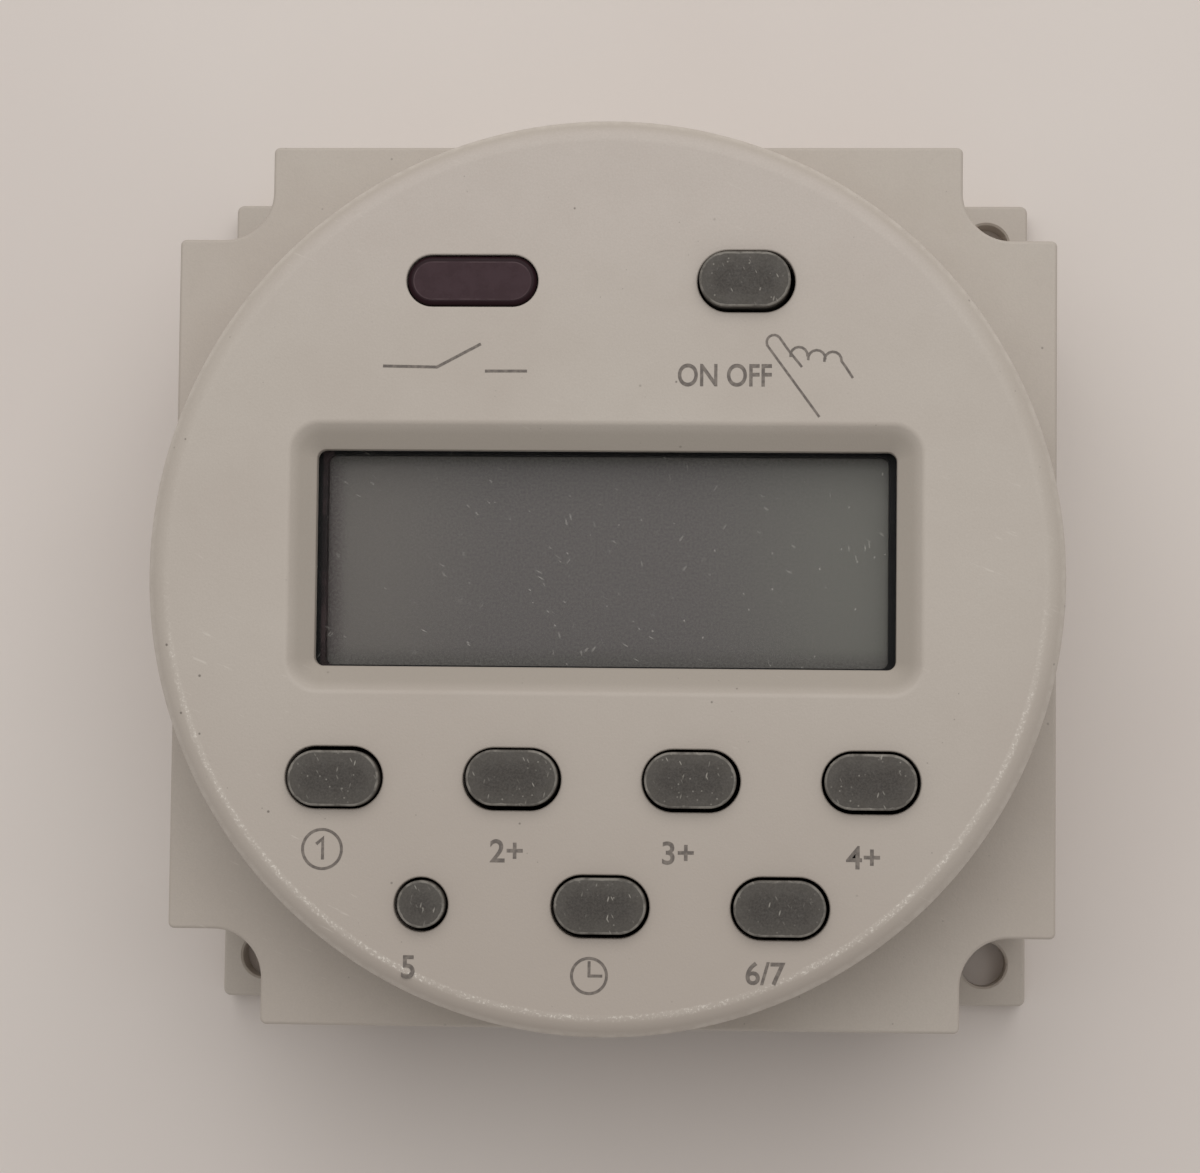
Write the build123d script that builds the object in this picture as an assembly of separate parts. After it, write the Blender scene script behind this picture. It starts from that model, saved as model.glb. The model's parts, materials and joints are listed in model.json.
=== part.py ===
from build123d import *
from math import atan2, cos, degrees, pi, sin, sqrt
import os

# A digital timer switch, in millimetres, lying on its back. +Z points out of its face, X runs to
# the right and Y up as the face is read, and the rear plane is Z = 0.
# The flange's side and the case's height drive the rest. Places and sizes in X and Y are written
# for a flange of 60 mm and follow it through spread. Walls and clearances stay as they are.

# Case
flange_side = 60.0
case_height = 32.0
spread = flange_side / 60
face_inset = 0.1
rim_radius = 1.5
rim_bands = 4
face_thickness = 2.0
drum_wall = 1.5
drum_height = 10.5
flange_thickness = 2.0
skirt_height = 4.0
skirt_wall = 1.8
corner_radius = 0.4
notch_side = 6.4
notch_radius = 3.3
rear_inset = 0.8
rear_wall = 2.0
rear_floor = 2.0
lip_clearance = 0.1
lip_height = 1.6

# Fixing ears
ear_thickness = 2.8
ear_corner_radius = 0.5
ear_hole_diameter = 3.3
ear_hole_edge = 3.0

# Case screws and snap hooks
case_boss_gap = 1.28
case_screw_diameter = 2.6
case_screw_head = 4.6
case_screw_head_height = 1.7
case_screw_head_edge = 0.55
case_screw_seat = 6.0
case_screw_end_gap = 3.0
screw_clearance = 0.15
screw_bite = 0.2
counterbore_clearance = 0.3
case_boss_wall = 1.5
boss_end = 12.0
boss_gap = 0.1
pilot_spare = 1.0
hook_x = 14.0 * spread
hook_width = 4.5
hook_thickness = 1.2
hook_reach = 6.0
hook_barb = 0.7
hook_barb_height = 1.6
hook_clearance = 0.15

# Display window
window_length = 37.95 * spread
window_height = 14.2 * spread
window_radius = 0.6
window_y = 1.1 * spread
bevel_width = 1.9
bevel_depth = 1.2
bevel_low_radius = 0.3
lens_thickness = 1.0
lens_overlap = 1.3
lens_corner = 1.0
lens_clearance = 0.15
lens_rib = 0.9

# Keys
key_length = 5.95 * spread
key_width = 3.62 * spread
round_key_diameter = 3.08 * spread
key_clearance = 0.21
key_pitch = 11.6 * spread
main_row_y = -13.3 * spread
low_row_y = -21.45 * spread
top_row_y = 19.2 * spread
manual_x = 9.1 * spread
key_proud = 0.8
key_travel = 0.8
key_edge = 0.25
plunger_inset = 0.5
pill_side = 1.5
pill_thickness = 0.4
contact_gap = 0.1

# Rubber mats
mat_thickness = 1.2
mat_edge_gap = 0.4
mat_boss_gap = 0.25
mat_margin = 0.3
web_height = 1.6
web_spread = 0.5
web_thickness = 0.35
web_tuck = 0.05

# Indicator
indicator_length = 8.64 * spread
indicator_height = 3.41 * spread
indicator_x = -8.8 * spread
indicator_clearance = 0.08
indicator_edge = 0.25
indicator_flange = 0.9
indicator_flange_thickness = 0.8
lamp_diameter = 3.0
lamp_edge = 0.6
lamp_gap = 0.3

# Display
display_gap = 6.0
display_board_thickness = 1.2
board_edge_gap = 0.4
disc_sides = 24
view_inset_x = 0.475
view_inset_y = 0.15
view_radius = 0.5
glass_over_x = 2.0
glass_over_y = 2.3
glass_thickness = 1.1
glass_offset = 0.75
contact_ledge = 2.3
film_thickness = 0.2
film_margin = 0.3
frame_lip = 1.0
frame_wall = 1.3
glass_clearance = 0.1
strip_end_gap = 1.5
strip_width = 1.7
strip_inset = 0.3

# Board screws
board_screw_diameter = 2.0
board_screw_head = 3.6
board_screw_head_height = 1.2
board_screw_length = 4.6
screw_sides = 12
post_sides = 8
board_boss_width = 3.4 * spread
upper_boss_x = 17.0 * spread
upper_boss_y = 15.6 * spread
lower_boss_x = 17.6 * spread
lower_boss_y = -18.9 * spread
post_x = 13.0 * spread
post_y = 22.0 * spread
post_width = 4.0 * spread

# Power board
power_board_thickness = 1.6
power_board_gap = 0.7
flange_board_gap = 0.3
hook_board_gap = 0.3
board_notch_gap = 0.4

# Terminals
terminal_count = 5
terminal_pitch = 9.6
terminal_y = -13.0 * spread
blade_width = 6.3
blade_thickness = 0.8
blade_tip = 6.0
blade_nose = 1.2
blade_hole = 1.6
blade_hole_setback = 3.4
blade_shoulder = 7.6
shoulder_height = 0.8
tail_width = 1.4
tail_length = 1.0
slot_clearance = 0.1
trough_width = 12.0
trough_wall = 1.6
rib_thickness = 1.2
channel_length = 35.0 * spread
channel_depth = 6.0

# Parts on the boards
relay_length = 19.0 * spread
relay_width = 15.3 * spread
relay_floor_gap = 0.7
relay_base_height = 2.2
relay_edge = 0.6
relay_lip = 0.3
relay_place = (-16.4 * spread, 3.6 * spread)
film_cap_length = 18.0 * spread
film_cap_width = 8.5 * spread
film_cap_floor_gap = 2.1
film_cap_edge = 0.6
film_cap_place = (5.6 * spread, 1.2 * spread)
filter_cap_diameter = 10.0 * spread
filter_cap_floor_gap = 2.6
filter_cap_place = (21.0 * spread, 0.6 * spread)
cell_diameter = 11.5 * spread
cell_thickness = 5.3
cell_place = (1.6 * spread, 13.2 * spread)
tab_thickness = 0.25
tab_width = 3.0
tab_reach = 2.0
diode_diameter = 2.7 * spread
diode_length = 5.0 * spread
diode_spacing = 3.6 * spread
diode_count = 4
diode_place = (17.4 * spread, 10.9 * spread)
varistor_diameter = 7.6 * spread
varistor_thickness = 3.6 * spread
varistor_place = (-10.4 * spread, 15.4 * spread)
resistor_diameter = 4.2 * spread
resistor_length = 10.5 * spread
resistor_place = (-2.5 * spread, 22.8 * spread)
transistor_diameter = 4.7 * spread
transistor_flat = 3.7 * spread
transistor_height = 4.6
transistor_place = (8.2 * spread, 21.0 * spread)
part_standoff = 0.5
round_part_sides = 16
lead_width = 0.6
lead_spacing = 2.54
lead_reach = 1.6
chip_diameter = 9.0
chip_top_diameter = 5.6
chip_height = 1.7
chip_place = (-6.0 * spread, -5.0 * spread)
crystal_diameter = 2.0
crystal_length = 6.0
crystal_gap = 0.1
crystal_place = (6.5 * spread, -6.0 * spread)
header_pins = 5
pin_spacing = 2.54
header_width = 2.0
header_gap = 1.1
header_pin = 0.64
header_edge_gap = 0.2

# Heights that the stack gives
flange_top = case_height - drum_height
flange_under = flange_top - flange_thickness
seam_height = flange_top - skirt_height
plate_under = case_height - face_thickness
board_top = plate_under - display_gap
board_under = board_top - display_board_thickness
lens_under = plate_under - lens_thickness
glass_top = lens_under - frame_lip - film_thickness
ledge_under = glass_top - glass_thickness
glass_under = ledge_under - glass_thickness
power_board_top = flange_under - flange_board_gap
power_board_under = power_board_top - power_board_thickness
trough_depth = power_board_under - trough_wall
mat_top = board_top + mat_thickness
web_top = mat_top + web_height
web_foot = web_spread + web_thickness
pill_under = board_top + key_travel + contact_gap
hook_tip = seam_height - hook_reach
case_screw_length = flange_top - case_screw_seat - case_screw_end_gap

# Widths that the walls give
face_diameter = flange_side - 2 * face_inset
drum_inside = face_diameter / 2 - drum_wall
half_flange = flange_side / 2
half_rear = half_flange - rear_inset
half_inside = half_rear - rear_wall
lip_inset = skirt_wall + lip_clearance
ear_hole_place = half_rear - ear_hole_edge
case_boss_width = case_screw_diameter + 2 * case_boss_wall
notch_centre = half_flange - notch_side + notch_radius
notch_inside = notch_radius + rear_inset + rear_wall
case_screw_place = notch_centre - (notch_inside + case_boss_gap + case_boss_width / 2) / sqrt(2)
board_half_x = half_inside - power_board_gap
board_half_y = half_inside - hook_clearance - hook_thickness - hook_board_gap
board_corner = case_screw_place - case_boss_width / 2 - board_notch_gap
header_y = header_width / 2 + header_edge_gap - board_half_y
view_length = window_length - 2 * view_inset_x
view_height = window_height - 2 * view_inset_y
glass_length = view_length + 2 * glass_over_x
glass_height = view_height + 2 * glass_over_y
glass_y = window_y + glass_offset
frame_length = glass_length + 2 * (glass_clearance + frame_wall)
frame_height = glass_height + 2 * (glass_clearance + frame_wall)
trough_length = terminal_count * terminal_pitch - rib_thickness
trough_low = terminal_y - trough_width / 2

long_keys = {
    "manual": (manual_x, top_row_y),
    "program": (-1.5 * key_pitch, main_row_y),
    "day": (-0.5 * key_pitch, main_row_y),
    "hour": (0.5 * key_pitch, main_row_y),
    "minute": (1.5 * key_pitch, main_row_y),
    "clock": (0.0, low_row_y),
    "recall": (key_pitch, low_row_y),
}
round_keys = {"clear": (-key_pitch, low_row_y)}
key_places = {**long_keys, **round_keys}
board_bosses = [
    (-upper_boss_x, upper_boss_y),
    (upper_boss_x, upper_boss_y),
    (-lower_boss_x, lower_boss_y),
    (lower_boss_x, lower_boss_y),
]
posts = [(-post_x, post_y), (post_x, post_y)]
case_screws = [(-case_screw_place, case_screw_place), (case_screw_place, case_screw_place)]
blade_xs = [(i - (terminal_count - 1) / 2) * terminal_pitch for i in range(terminal_count)]


def rise(sketch, low, high):
    """Solid of a flat sketch from one height to another."""
    return Pos(0, 0, low) * extrude(sketch, high - low)


def post(place, diameter, low, high):
    """Upright round post at a place."""
    return rise(Pos(*place) * Circle(diameter / 2), low, high)


def prism(place, sides, width, low, high):
    """Upright many-sided post at a place, measured across its flats."""
    flat = RegularPolygon(width / 2, sides, major_radius=False)
    return rise(Pos(*place) * flat, low, high)


def notch(inset):
    """What one corner notch takes from the flange square that is brought in by inset."""
    side = notch_side + notch_radius + 2 * inset
    middle = half_flange - notch_side - inset + side / 2
    square = Pos(middle, middle) * Rectangle(side, side)
    inner = square.vertices().sort_by(lambda v: v.X + v.Y)[0]
    return fillet(inner, notch_radius + inset)


def case_outline(inset):
    """Notched square brought in by inset all round."""
    side = flange_side - 2 * inset
    outline = Rectangle(side, side)
    for turn in range(4):
        outline -= Rot(0, 0, 90 * turn) * notch(inset)
    return outline


def rounded_outline(inset):
    """Notched square with its eight tips rounded, for the outside of the case."""
    outline = case_outline(inset)
    reach = flange_side / 2 - inset - corner_radius
    tips = [v for v in outline.vertices() if max(abs(v.X), abs(v.Y)) > reach]
    return fillet(tips, corner_radius)


def key_outline(name, grow):
    """Outline of a key, grown or shrunk all round."""
    if name in round_keys:
        flat = Circle(round_key_diameter / 2 + grow)
    else:
        flat = SlotOverall(key_length + 2 * grow, key_width + 2 * grow)
    return Pos(*key_places[name]) * flat


def key_foot(name, grow):
    """Eight-sided outline about a key, grown or shrunk all round, for the rubber under its cap."""
    length, width = key_length, key_width
    if name in round_keys:
        length = width = round_key_diameter
    flat = Rectangle(length + 2 * grow, width + 2 * grow)
    corner = (width / 2 + grow) * (2 - sqrt(2))
    return Pos(*key_places[name]) * chamfer(flat.vertices(), corner)


def window_bevel():
    """Sloping frame that leads down from the face to the display window."""
    slope = degrees(atan2(bevel_width, bevel_depth))
    low = RectangleRounded(window_length, window_height, bevel_low_radius)
    return Pos(0, window_y, case_height - bevel_depth) * extrude(low, bevel_depth, taper=-slope)


def snap_hook(x):
    """Hook under the flange that catches in the lower wall of the rear housing."""
    back = -(half_inside - hook_clearance)
    depth = hook_thickness + hook_barb
    profile = Polyline(
        (back, flange_under),
        (back, hook_tip + hook_barb_height + hook_barb),
        (back - hook_barb, hook_tip + hook_barb_height),
        (back - hook_barb, hook_tip + hook_barb_height - hook_barb / 2),
        (back, hook_tip),
        (back + depth - hook_barb, hook_tip),
        (back + depth - hook_barb, flange_under),
        close=True,
    )
    face = make_face(Plane.YZ * profile)
    return Pos(x - hook_width / 2, 0, 0) * extrude(face, hook_width, dir=(1, 0, 0))


def drum():
    """Round face, turned from its profile, with the rim's quarter round in bands."""
    radius = face_diameter / 2
    centre = (radius - rim_radius, case_height - rim_radius)
    angles = [pi / 2 * band / rim_bands for band in range(rim_bands + 1)]
    rim = [(centre[0] + rim_radius * cos(a), centre[1] + rim_radius * sin(a)) for a in angles]
    profile = Polyline((0, flange_top), (radius, flange_top), *rim, (0, case_height), close=True)
    return revolve(Plane.XZ * make_face(profile), Axis.Z)


def front_cover():
    """Round face on its square flange, with the holes and the fixings on its inside."""
    cover = drum() + rise(rounded_outline(0), seam_height, flange_top)
    cover -= rise(case_outline(skirt_wall), seam_height, flange_under)
    cover -= rise(Circle(drum_inside), flange_under, plate_under)
    for place in board_bosses:
        cover += prism(place, post_sides, board_boss_width, board_top, plate_under)
    cover += lens_ribs()
    for place in case_screws:
        cover += prism(place, post_sides, case_boss_width, boss_end, flange_top)
    for side in (-1, 1):
        cover += snap_hook(side * hook_x)
    cover -= window_bevel()
    opening = Pos(0, window_y) * RectangleRounded(window_length, window_height, window_radius)
    cover -= rise(opening, plate_under, case_height)
    for name in key_places:
        cover -= rise(key_outline(name, key_clearance), plate_under, case_height)
    lamp_hole = Pos(indicator_x, top_row_y) * SlotOverall(indicator_length, indicator_height)
    cover -= rise(lamp_hole, plate_under, case_height)
    for place in board_bosses:
        pilot = board_screw_diameter - screw_bite
        depth = board_screw_length - display_board_thickness + pilot_spare
        cover -= prism(place, post_sides, pilot, board_top, board_top + depth)
    for place in case_screws:
        pilot = case_screw_diameter - 2 * screw_bite
        cover -= prism(place, post_sides, pilot, boss_end, case_screw_seat + case_screw_length + pilot_spare)
    return cover


def lens_ribs():
    """Two low ribs under the face that the window lens lies between."""
    apart = window_height + 2 * (lens_overlap + lens_clearance) + lens_rib
    ribs = [Pos(0, window_y + side * apart / 2) * Rectangle(window_length, lens_rib) for side in (-1, 1)]
    return rise(ribs[0] + ribs[1], lens_under, plate_under)


def terminal_recess():
    """Hollow at the rear that the blades stand in, with the channel that the wires leave by."""
    trough = Pos(0, terminal_y) * Rectangle(trough_length, trough_width)
    reach = trough_low + half_flange
    channel = Pos(0, trough_low - reach / 2) * Rectangle(channel_length, reach)
    return rise(trough, 0, trough_depth) + rise(channel, 0, channel_depth)


def recess_walls():
    """Walls and ceilings that close the terminal recess from the inside of the case."""
    grow = 2 * trough_wall
    trough = Pos(0, terminal_y) * Rectangle(trough_length + grow, trough_width + grow)
    reach = trough_low + half_rear
    channel = Pos(0, trough_low - reach / 2) * Rectangle(channel_length + grow, reach)
    walls = rise(trough, 0, trough_depth + trough_wall)
    return walls + rise(channel, 0, channel_depth + trough_wall)


def rear_housing():
    """Box under the flange, with its ears, its terminal recess and its screw posts."""
    box = rise(case_outline(rear_inset), 0, seam_height)
    box += rise(case_outline(lip_inset), seam_height, seam_height + lip_height)
    ears = RectangleRounded(2 * half_rear, 2 * half_rear, ear_corner_radius)
    box += rise(ears, 0, ear_thickness)
    hollow = rise(case_outline(rear_inset + rear_wall), rear_floor, seam_height + lip_height)
    box -= hollow - recess_walls()
    for place in posts:
        box += prism(place, post_sides, post_width, rear_floor, power_board_under)
    seat_end = boss_end - boss_gap
    for place in case_screws:
        boss = case_screw_head + 2 * (counterbore_clearance + case_boss_wall)
        box += prism(place, post_sides, boss, 0, seat_end)
    box -= terminal_recess()
    for x in blade_xs[1:]:
        rib = Pos(x - terminal_pitch / 2, terminal_y) * Rectangle(rib_thickness, trough_width)
        box += rise(rib, blade_tip, trough_depth)
    for x in blade_xs:
        slot = Pos(x, terminal_y) * Rectangle(
            blade_width + 2 * slot_clearance, blade_thickness + 2 * slot_clearance
        )
        seat = Pos(x, terminal_y) * Rectangle(
            blade_shoulder + 2 * slot_clearance, blade_thickness + 2 * slot_clearance
        )
        box -= rise(slot, trough_depth, power_board_under)
        box -= rise(seat, power_board_under - shoulder_height, power_board_under)
    for place in case_screws:
        box -= post(place, case_screw_head + 2 * counterbore_clearance, 0, case_screw_seat)
        box -= prism(place, post_sides, case_screw_diameter + 2 * screw_clearance, case_screw_seat, seat_end)
    for place in posts:
        depth = board_screw_length - power_board_thickness + pilot_spare
        pilot = board_screw_diameter - screw_bite
        box -= prism(place, post_sides, pilot, power_board_under - depth, power_board_under)
    for turn in range(4):
        hole = (ear_hole_place, ear_hole_place)
        box -= Rot(0, 0, 90 * turn) * post(hole, ear_hole_diameter, 0, ear_thickness)
    for side in (-1, 1):
        box -= hook_window(side * hook_x)
    return box


def hook_window(x):
    """Blind slot in the lower wall that a snap hook catches in."""
    width = hook_width + 2 * hook_clearance
    depth = hook_barb + hook_clearance
    slot = Pos(x, -(half_inside + depth / 2)) * Rectangle(width, depth)
    low = hook_tip - hook_clearance
    return rise(slot, low, hook_tip + hook_barb_height + hook_barb + hook_clearance)


def window_lens():
    """Clear sheet behind the display window."""
    length = window_length + 2 * lens_overlap
    height = window_height + 2 * lens_overlap
    sheet = chamfer(Rectangle(length, height).vertices(), lens_corner)
    return rise(Pos(0, window_y) * sheet, lens_under, plate_under)


def indicator_lens():
    """Dark red window of the indicator, with the flange that holds it under the face."""
    grow = -2 * indicator_clearance
    slab = SlotOverall(indicator_length + grow, indicator_height + grow)
    rim = Rectangle(indicator_length + 2 * indicator_flange, indicator_height + 2 * indicator_flange)
    here = Pos(indicator_x, top_row_y)
    lens = rise(here * slab, plate_under, case_height)
    lens = chamfer(lens.edges().group_by(Axis.Z)[-1], indicator_edge)
    return lens + rise(here * rim, plate_under - indicator_flange_thickness, plate_under)


def indicator_led():
    """Small lamp on the display board, under the indicator window."""
    here = (indicator_x, top_row_y)
    top = plate_under - indicator_flange_thickness - lamp_gap
    lamp = prism(here, round_part_sides, lamp_diameter, board_top, top)
    return chamfer(lamp.edges().group_by(Axis.Z)[-1], lamp_edge)


def lcd_frame():
    """Black frame that carries the display glass and makes the dark border of the window."""
    outer = Pos(0, glass_y) * Rectangle(frame_length, frame_height)
    pocket = Pos(0, glass_y) * Rectangle(
        glass_length + 2 * glass_clearance, glass_height + 2 * glass_clearance
    )
    view = Pos(0, window_y) * RectangleRounded(view_length, view_height, view_radius)
    frame = rise(outer, board_top, lens_under)
    frame -= rise(pocket, board_top, lens_under - frame_lip)
    return frame - rise(view, lens_under - frame_lip, lens_under)


def glass_sheet(length_cut, height_cut, shift, low, thickness):
    """Sheet of the display, smaller than the front glass and shifted in Y."""
    flat = Rectangle(glass_length - length_cut, glass_height - height_cut)
    return rise(Pos(0, glass_y + shift) * flat, low, low + thickness)


def display_sheets():
    """Polariser, front glass, rear glass and reflector, from the top down."""
    shift = -contact_ledge / 2
    film_cut = contact_ledge + 2 * film_margin
    return {
        "lcd_front_polariser": glass_sheet(2 * film_margin, film_cut, shift, glass_top, film_thickness),
        "lcd_front_glass": glass_sheet(0, 0, 0, ledge_under, glass_thickness),
        "lcd_rear_glass": glass_sheet(0, contact_ledge, shift, glass_under, glass_thickness),
        "lcd_reflector": glass_sheet(
            2 * film_margin, film_cut, shift, glass_under - film_thickness, film_thickness
        ),
    }


def display_strips():
    """Rubber strips that the display glass stands on: the contact strip above, a plain one below."""
    top_edge = glass_y + glass_height / 2 - strip_inset - strip_width / 2
    low_edge = glass_y - glass_height / 2 + film_margin + strip_inset + strip_width / 2
    flat = Rectangle(glass_length - 2 * strip_end_gap, strip_width)
    return {
        "contact_strip": rise(Pos(0, top_edge) * flat, board_top, ledge_under),
        "support_strip": rise(Pos(0, low_edge) * flat, board_top, glass_under - film_thickness),
    }


def key(name):
    """One rubber key: the cap that shows and the plunger under it."""
    top = case_height + key_proud
    cap = rise(key_outline(name, 0), web_top, top)
    cap = chamfer(cap.edges().group_by(Axis.Z)[-1], key_edge)
    return cap + rise(key_foot(name, -plunger_inset), pill_under + pill_thickness, web_top)


def key_web(name):
    """Thin sloping skirt from the rubber mat up to the shoulder of a key."""
    lean = web_foot + plunger_inset - web_thickness - web_tuck
    slope = degrees(atan2(lean, web_height))
    outer = extrude(key_foot(name, web_foot), web_height, taper=slope)
    inner = extrude(key_foot(name, web_foot - web_thickness), web_height, taper=slope)
    return Pos(0, 0, mat_top) * (outer - inner)


def contact_pill(name):
    """Carbon pill under a key that closes the contact on the board."""
    flat = Pos(*key_places[name]) * Rectangle(pill_side, pill_side)
    return rise(flat, pill_under, pill_under + pill_thickness)


def mat_openings(mat, names):
    """Rubber mat with its opening under each key."""
    for name in names:
        mat -= key_foot(name, web_spread)
    return rise(mat, board_top, mat_top)


def keypad_mat():
    """Rubber mat on the display board that the seven lower keys belong to."""
    half_row = key_width / 2 + web_foot + mat_margin
    row = Rectangle(3 * key_pitch + key_length + 2 * (web_foot + mat_margin), 2 * half_row)
    row_low = main_row_y - half_row
    low = low_row_y - half_row
    reach = lower_boss_x - board_boss_width / 2 - mat_boss_gap
    below = Pos(0, (row_low + low) / 2) * Rectangle(2 * reach, row_low - low)
    mat = (Pos(0, main_row_y) * row + below) & RegularPolygon(drum_inside - mat_edge_gap, disc_sides)
    return mat_openings(mat, [name for name in key_places if name != "manual"])


def manual_mat():
    """Small rubber mat on the display board that the single upper key belongs to."""
    grow = 2 * (web_foot + mat_margin)
    flat = Rectangle(key_length + grow, key_width + grow)
    return mat_openings(Pos(*key_places["manual"]) * flat, ["manual"])


def header_pin_places():
    """Places of the pins that join the two boards."""
    first = -(header_pins - 1) / 2 * pin_spacing
    return [(first + i * pin_spacing, header_y) for i in range(header_pins)]


def display_board():
    """Many-sided board behind the face, with its screw holes."""
    outline = RegularPolygon(drum_inside - board_edge_gap, disc_sides)
    board = rise(outline, board_under, board_top)
    for place in board_bosses:
        board -= prism(place, post_sides, board_screw_diameter + 2 * screw_clearance, board_under, board_top)
    return board


def power_board_outline():
    """Outline of the power board: the case's inside, cut back at the bosses and the hooks."""
    outline = Rectangle(2 * board_half_x, 2 * board_half_y)
    for x in (-1, 1):
        for y in (-1, 1):
            corner = Rectangle(board_half_x - board_corner, board_half_y - board_corner)
            place = Pos(x * (board_half_x + board_corner) / 2, y * (board_half_y + board_corner) / 2)
            outline -= place * corner
    return outline


def power_board():
    """Board on the terminal trough and the two posts, with its slots and screw holes."""
    board = rise(power_board_outline(), power_board_under, power_board_top)
    for x in blade_xs:
        slot = Rectangle(tail_width + 2 * slot_clearance, blade_thickness + 2 * slot_clearance)
        board -= rise(Pos(x, terminal_y) * slot, power_board_under, power_board_top)
    for place in posts:
        hole = board_screw_diameter + 2 * screw_clearance
        board -= prism(place, post_sides, hole, power_board_under, power_board_top)
    return board


def terminal_blade(x):
    """Quick-connect blade with a pointed tip, its shoulder and the tail in the board."""
    half = blade_width / 2
    shoulder = blade_shoulder / 2
    tail = tail_width / 2
    seat = power_board_under - shoulder_height
    end = power_board_top + tail_length
    profile = Polyline(
        (-half, seat),
        (-half, blade_tip + blade_nose),
        (-half + blade_nose, blade_tip),
        (half - blade_nose, blade_tip),
        (half, blade_tip + blade_nose),
        (half, seat),
        (shoulder, seat),
        (shoulder, power_board_under),
        (tail, power_board_under),
        (tail, end),
        (-tail, end),
        (-tail, power_board_under),
        (-shoulder, power_board_under),
        (-shoulder, seat),
        close=True,
    )
    hole = RegularPolygon(blade_hole / 2, post_sides, major_radius=False)
    flat = make_face(profile) - Pos(0, blade_tip + blade_hole_setback) * hole
    blade = extrude(Plane.XZ * flat, blade_thickness / 2, both=True)
    return Pos(x, terminal_y, 0) * blade


def board_screw(place, head_side, seat):
    """Small screw with its head on a board face at seat; head_side is 1 above the board, -1 below."""
    head = (seat, seat + head_side * board_screw_head_height)
    shank = (seat, seat - head_side * board_screw_length)
    screw = prism(place, screw_sides, board_screw_head, min(head), max(head))
    return screw + prism(place, post_sides, board_screw_diameter - 2 * screw_bite, min(shank), max(shank))


def board_screws():
    """Four screws that hold the display board to the face and two that hold the power board."""
    front = [board_screw(place, -1, board_under) for place in board_bosses]
    rear = [board_screw(place, 1, power_board_top) for place in posts]
    return Compound(children=front + rear)


def housing_screws():
    """Two screws from the rear that hold the front cover to the rear housing."""
    screws = []
    for place in case_screws:
        low = case_screw_seat - case_screw_head_height
        head = prism(place, screw_sides, case_screw_head, low, case_screw_seat)
        head = chamfer(head.edges().group_by(Axis.Z)[0], case_screw_head_edge)
        end = case_screw_seat + case_screw_length
        shank = prism(place, post_sides, case_screw_diameter - 4 * screw_bite, case_screw_seat, end)
        screws.append(head + shank)
    return Compound(children=screws)


def relay_parts():
    """Sealed relay: a base with its pins, and the cover over it."""
    here = Pos(*relay_place)
    base_under = power_board_under - relay_base_height
    base = rise(here * Rectangle(relay_length, relay_width), base_under, power_board_under)
    inner = Rectangle(relay_length - 2 * relay_lip, relay_width - 2 * relay_lip)
    cover = rise(here * inner, rear_floor + relay_floor_gap, base_under)
    cover = chamfer(cover.edges().group_by(Axis.Z)[0], relay_edge)
    return {"relay_base": base, "relay_cover": cover}


def film_capacitor():
    """Boxed film capacitor."""
    flat = Pos(*film_cap_place) * Rectangle(film_cap_length, film_cap_width)
    box = rise(flat, rear_floor + film_cap_floor_gap, power_board_under)
    return chamfer(box.edges().group_by(Axis.Z)[0], film_cap_edge)


def filter_capacitor():
    """Round can capacitor, upright under the board."""
    low = rear_floor + filter_cap_floor_gap
    return prism(filter_cap_place, disc_sides, filter_cap_diameter, low, power_board_under)


def backup_cell():
    """Button cell that keeps the clock going, with a tab on each face."""
    low = power_board_under - part_standoff - tab_thickness - cell_thickness
    can = prism(cell_place, disc_sides, cell_diameter, low, low + cell_thickness)
    reach = (cell_diameter / 2 + tab_reach) / 2
    tabs = []
    for side, height in ((-1, low - tab_thickness), (1, low + cell_thickness)):
        flat = Pos(cell_place[0] + side * reach, cell_place[1]) * Rectangle(2 * reach, tab_width)
        strip = rise(flat, height, height + tab_thickness)
        end_x = cell_place[0] + side * (2 * reach - tab_thickness / 2)
        leg = Pos(end_x, cell_place[1]) * Rectangle(tab_thickness, tab_width)
        tabs.append(strip + rise(leg, height, power_board_under))
    return {"backup_cell": can, "cell_tabs": Compound(children=tabs)}


def lead(place, low, high):
    """Upright wire lead."""
    return rise(Pos(*place) * Rectangle(lead_width, lead_width), low, high)


def round_bar(plane, diameter, length):
    """Round-bodied part lying across a plane, many-sided, centred on it."""
    flat = RegularPolygon(diameter / 2, round_part_sides, major_radius=False)
    return extrude(plane * flat, length / 2, both=True)


def lying_part(place, length, diameter, along_y):
    """Round-bodied part lying under the board, with a bent lead at each end."""
    x, y = place
    level = power_board_under - part_standoff - diameter / 2
    half = length / 2 + lead_reach
    part = round_bar(Plane.YZ, diameter, length)
    part += extrude(Plane.YZ * Rectangle(lead_width, lead_width), half, both=True)
    for side in (-1, 1):
        part += lead((side * (half - lead_width / 2), 0), 0, power_board_under - level)
    turn = Rot(0, 0, 90) if along_y else Rot(0, 0, 0)
    return Pos(x, y, level) * turn * part


def rectifier_diodes():
    """Row of four diodes."""
    x, y = diode_place
    first = -(diode_count - 1) / 2 * diode_spacing
    places = [(x + first + i * diode_spacing, y) for i in range(diode_count)]
    return Compound(children=[lying_part(place, diode_length, diode_diameter, True) for place in places])


def varistor():
    """Coated disc that takes the surges, standing on two leads."""
    x, y = varistor_place
    radius = varistor_diameter / 2
    level = power_board_under - part_standoff - radius
    disc = round_bar(Plane.XZ, varistor_diameter, varistor_thickness)
    for side in (-1, 1):
        disc += lead((side * lead_spacing, 0), 0, power_board_under - level)
    return Pos(x, y, level) * disc


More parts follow.
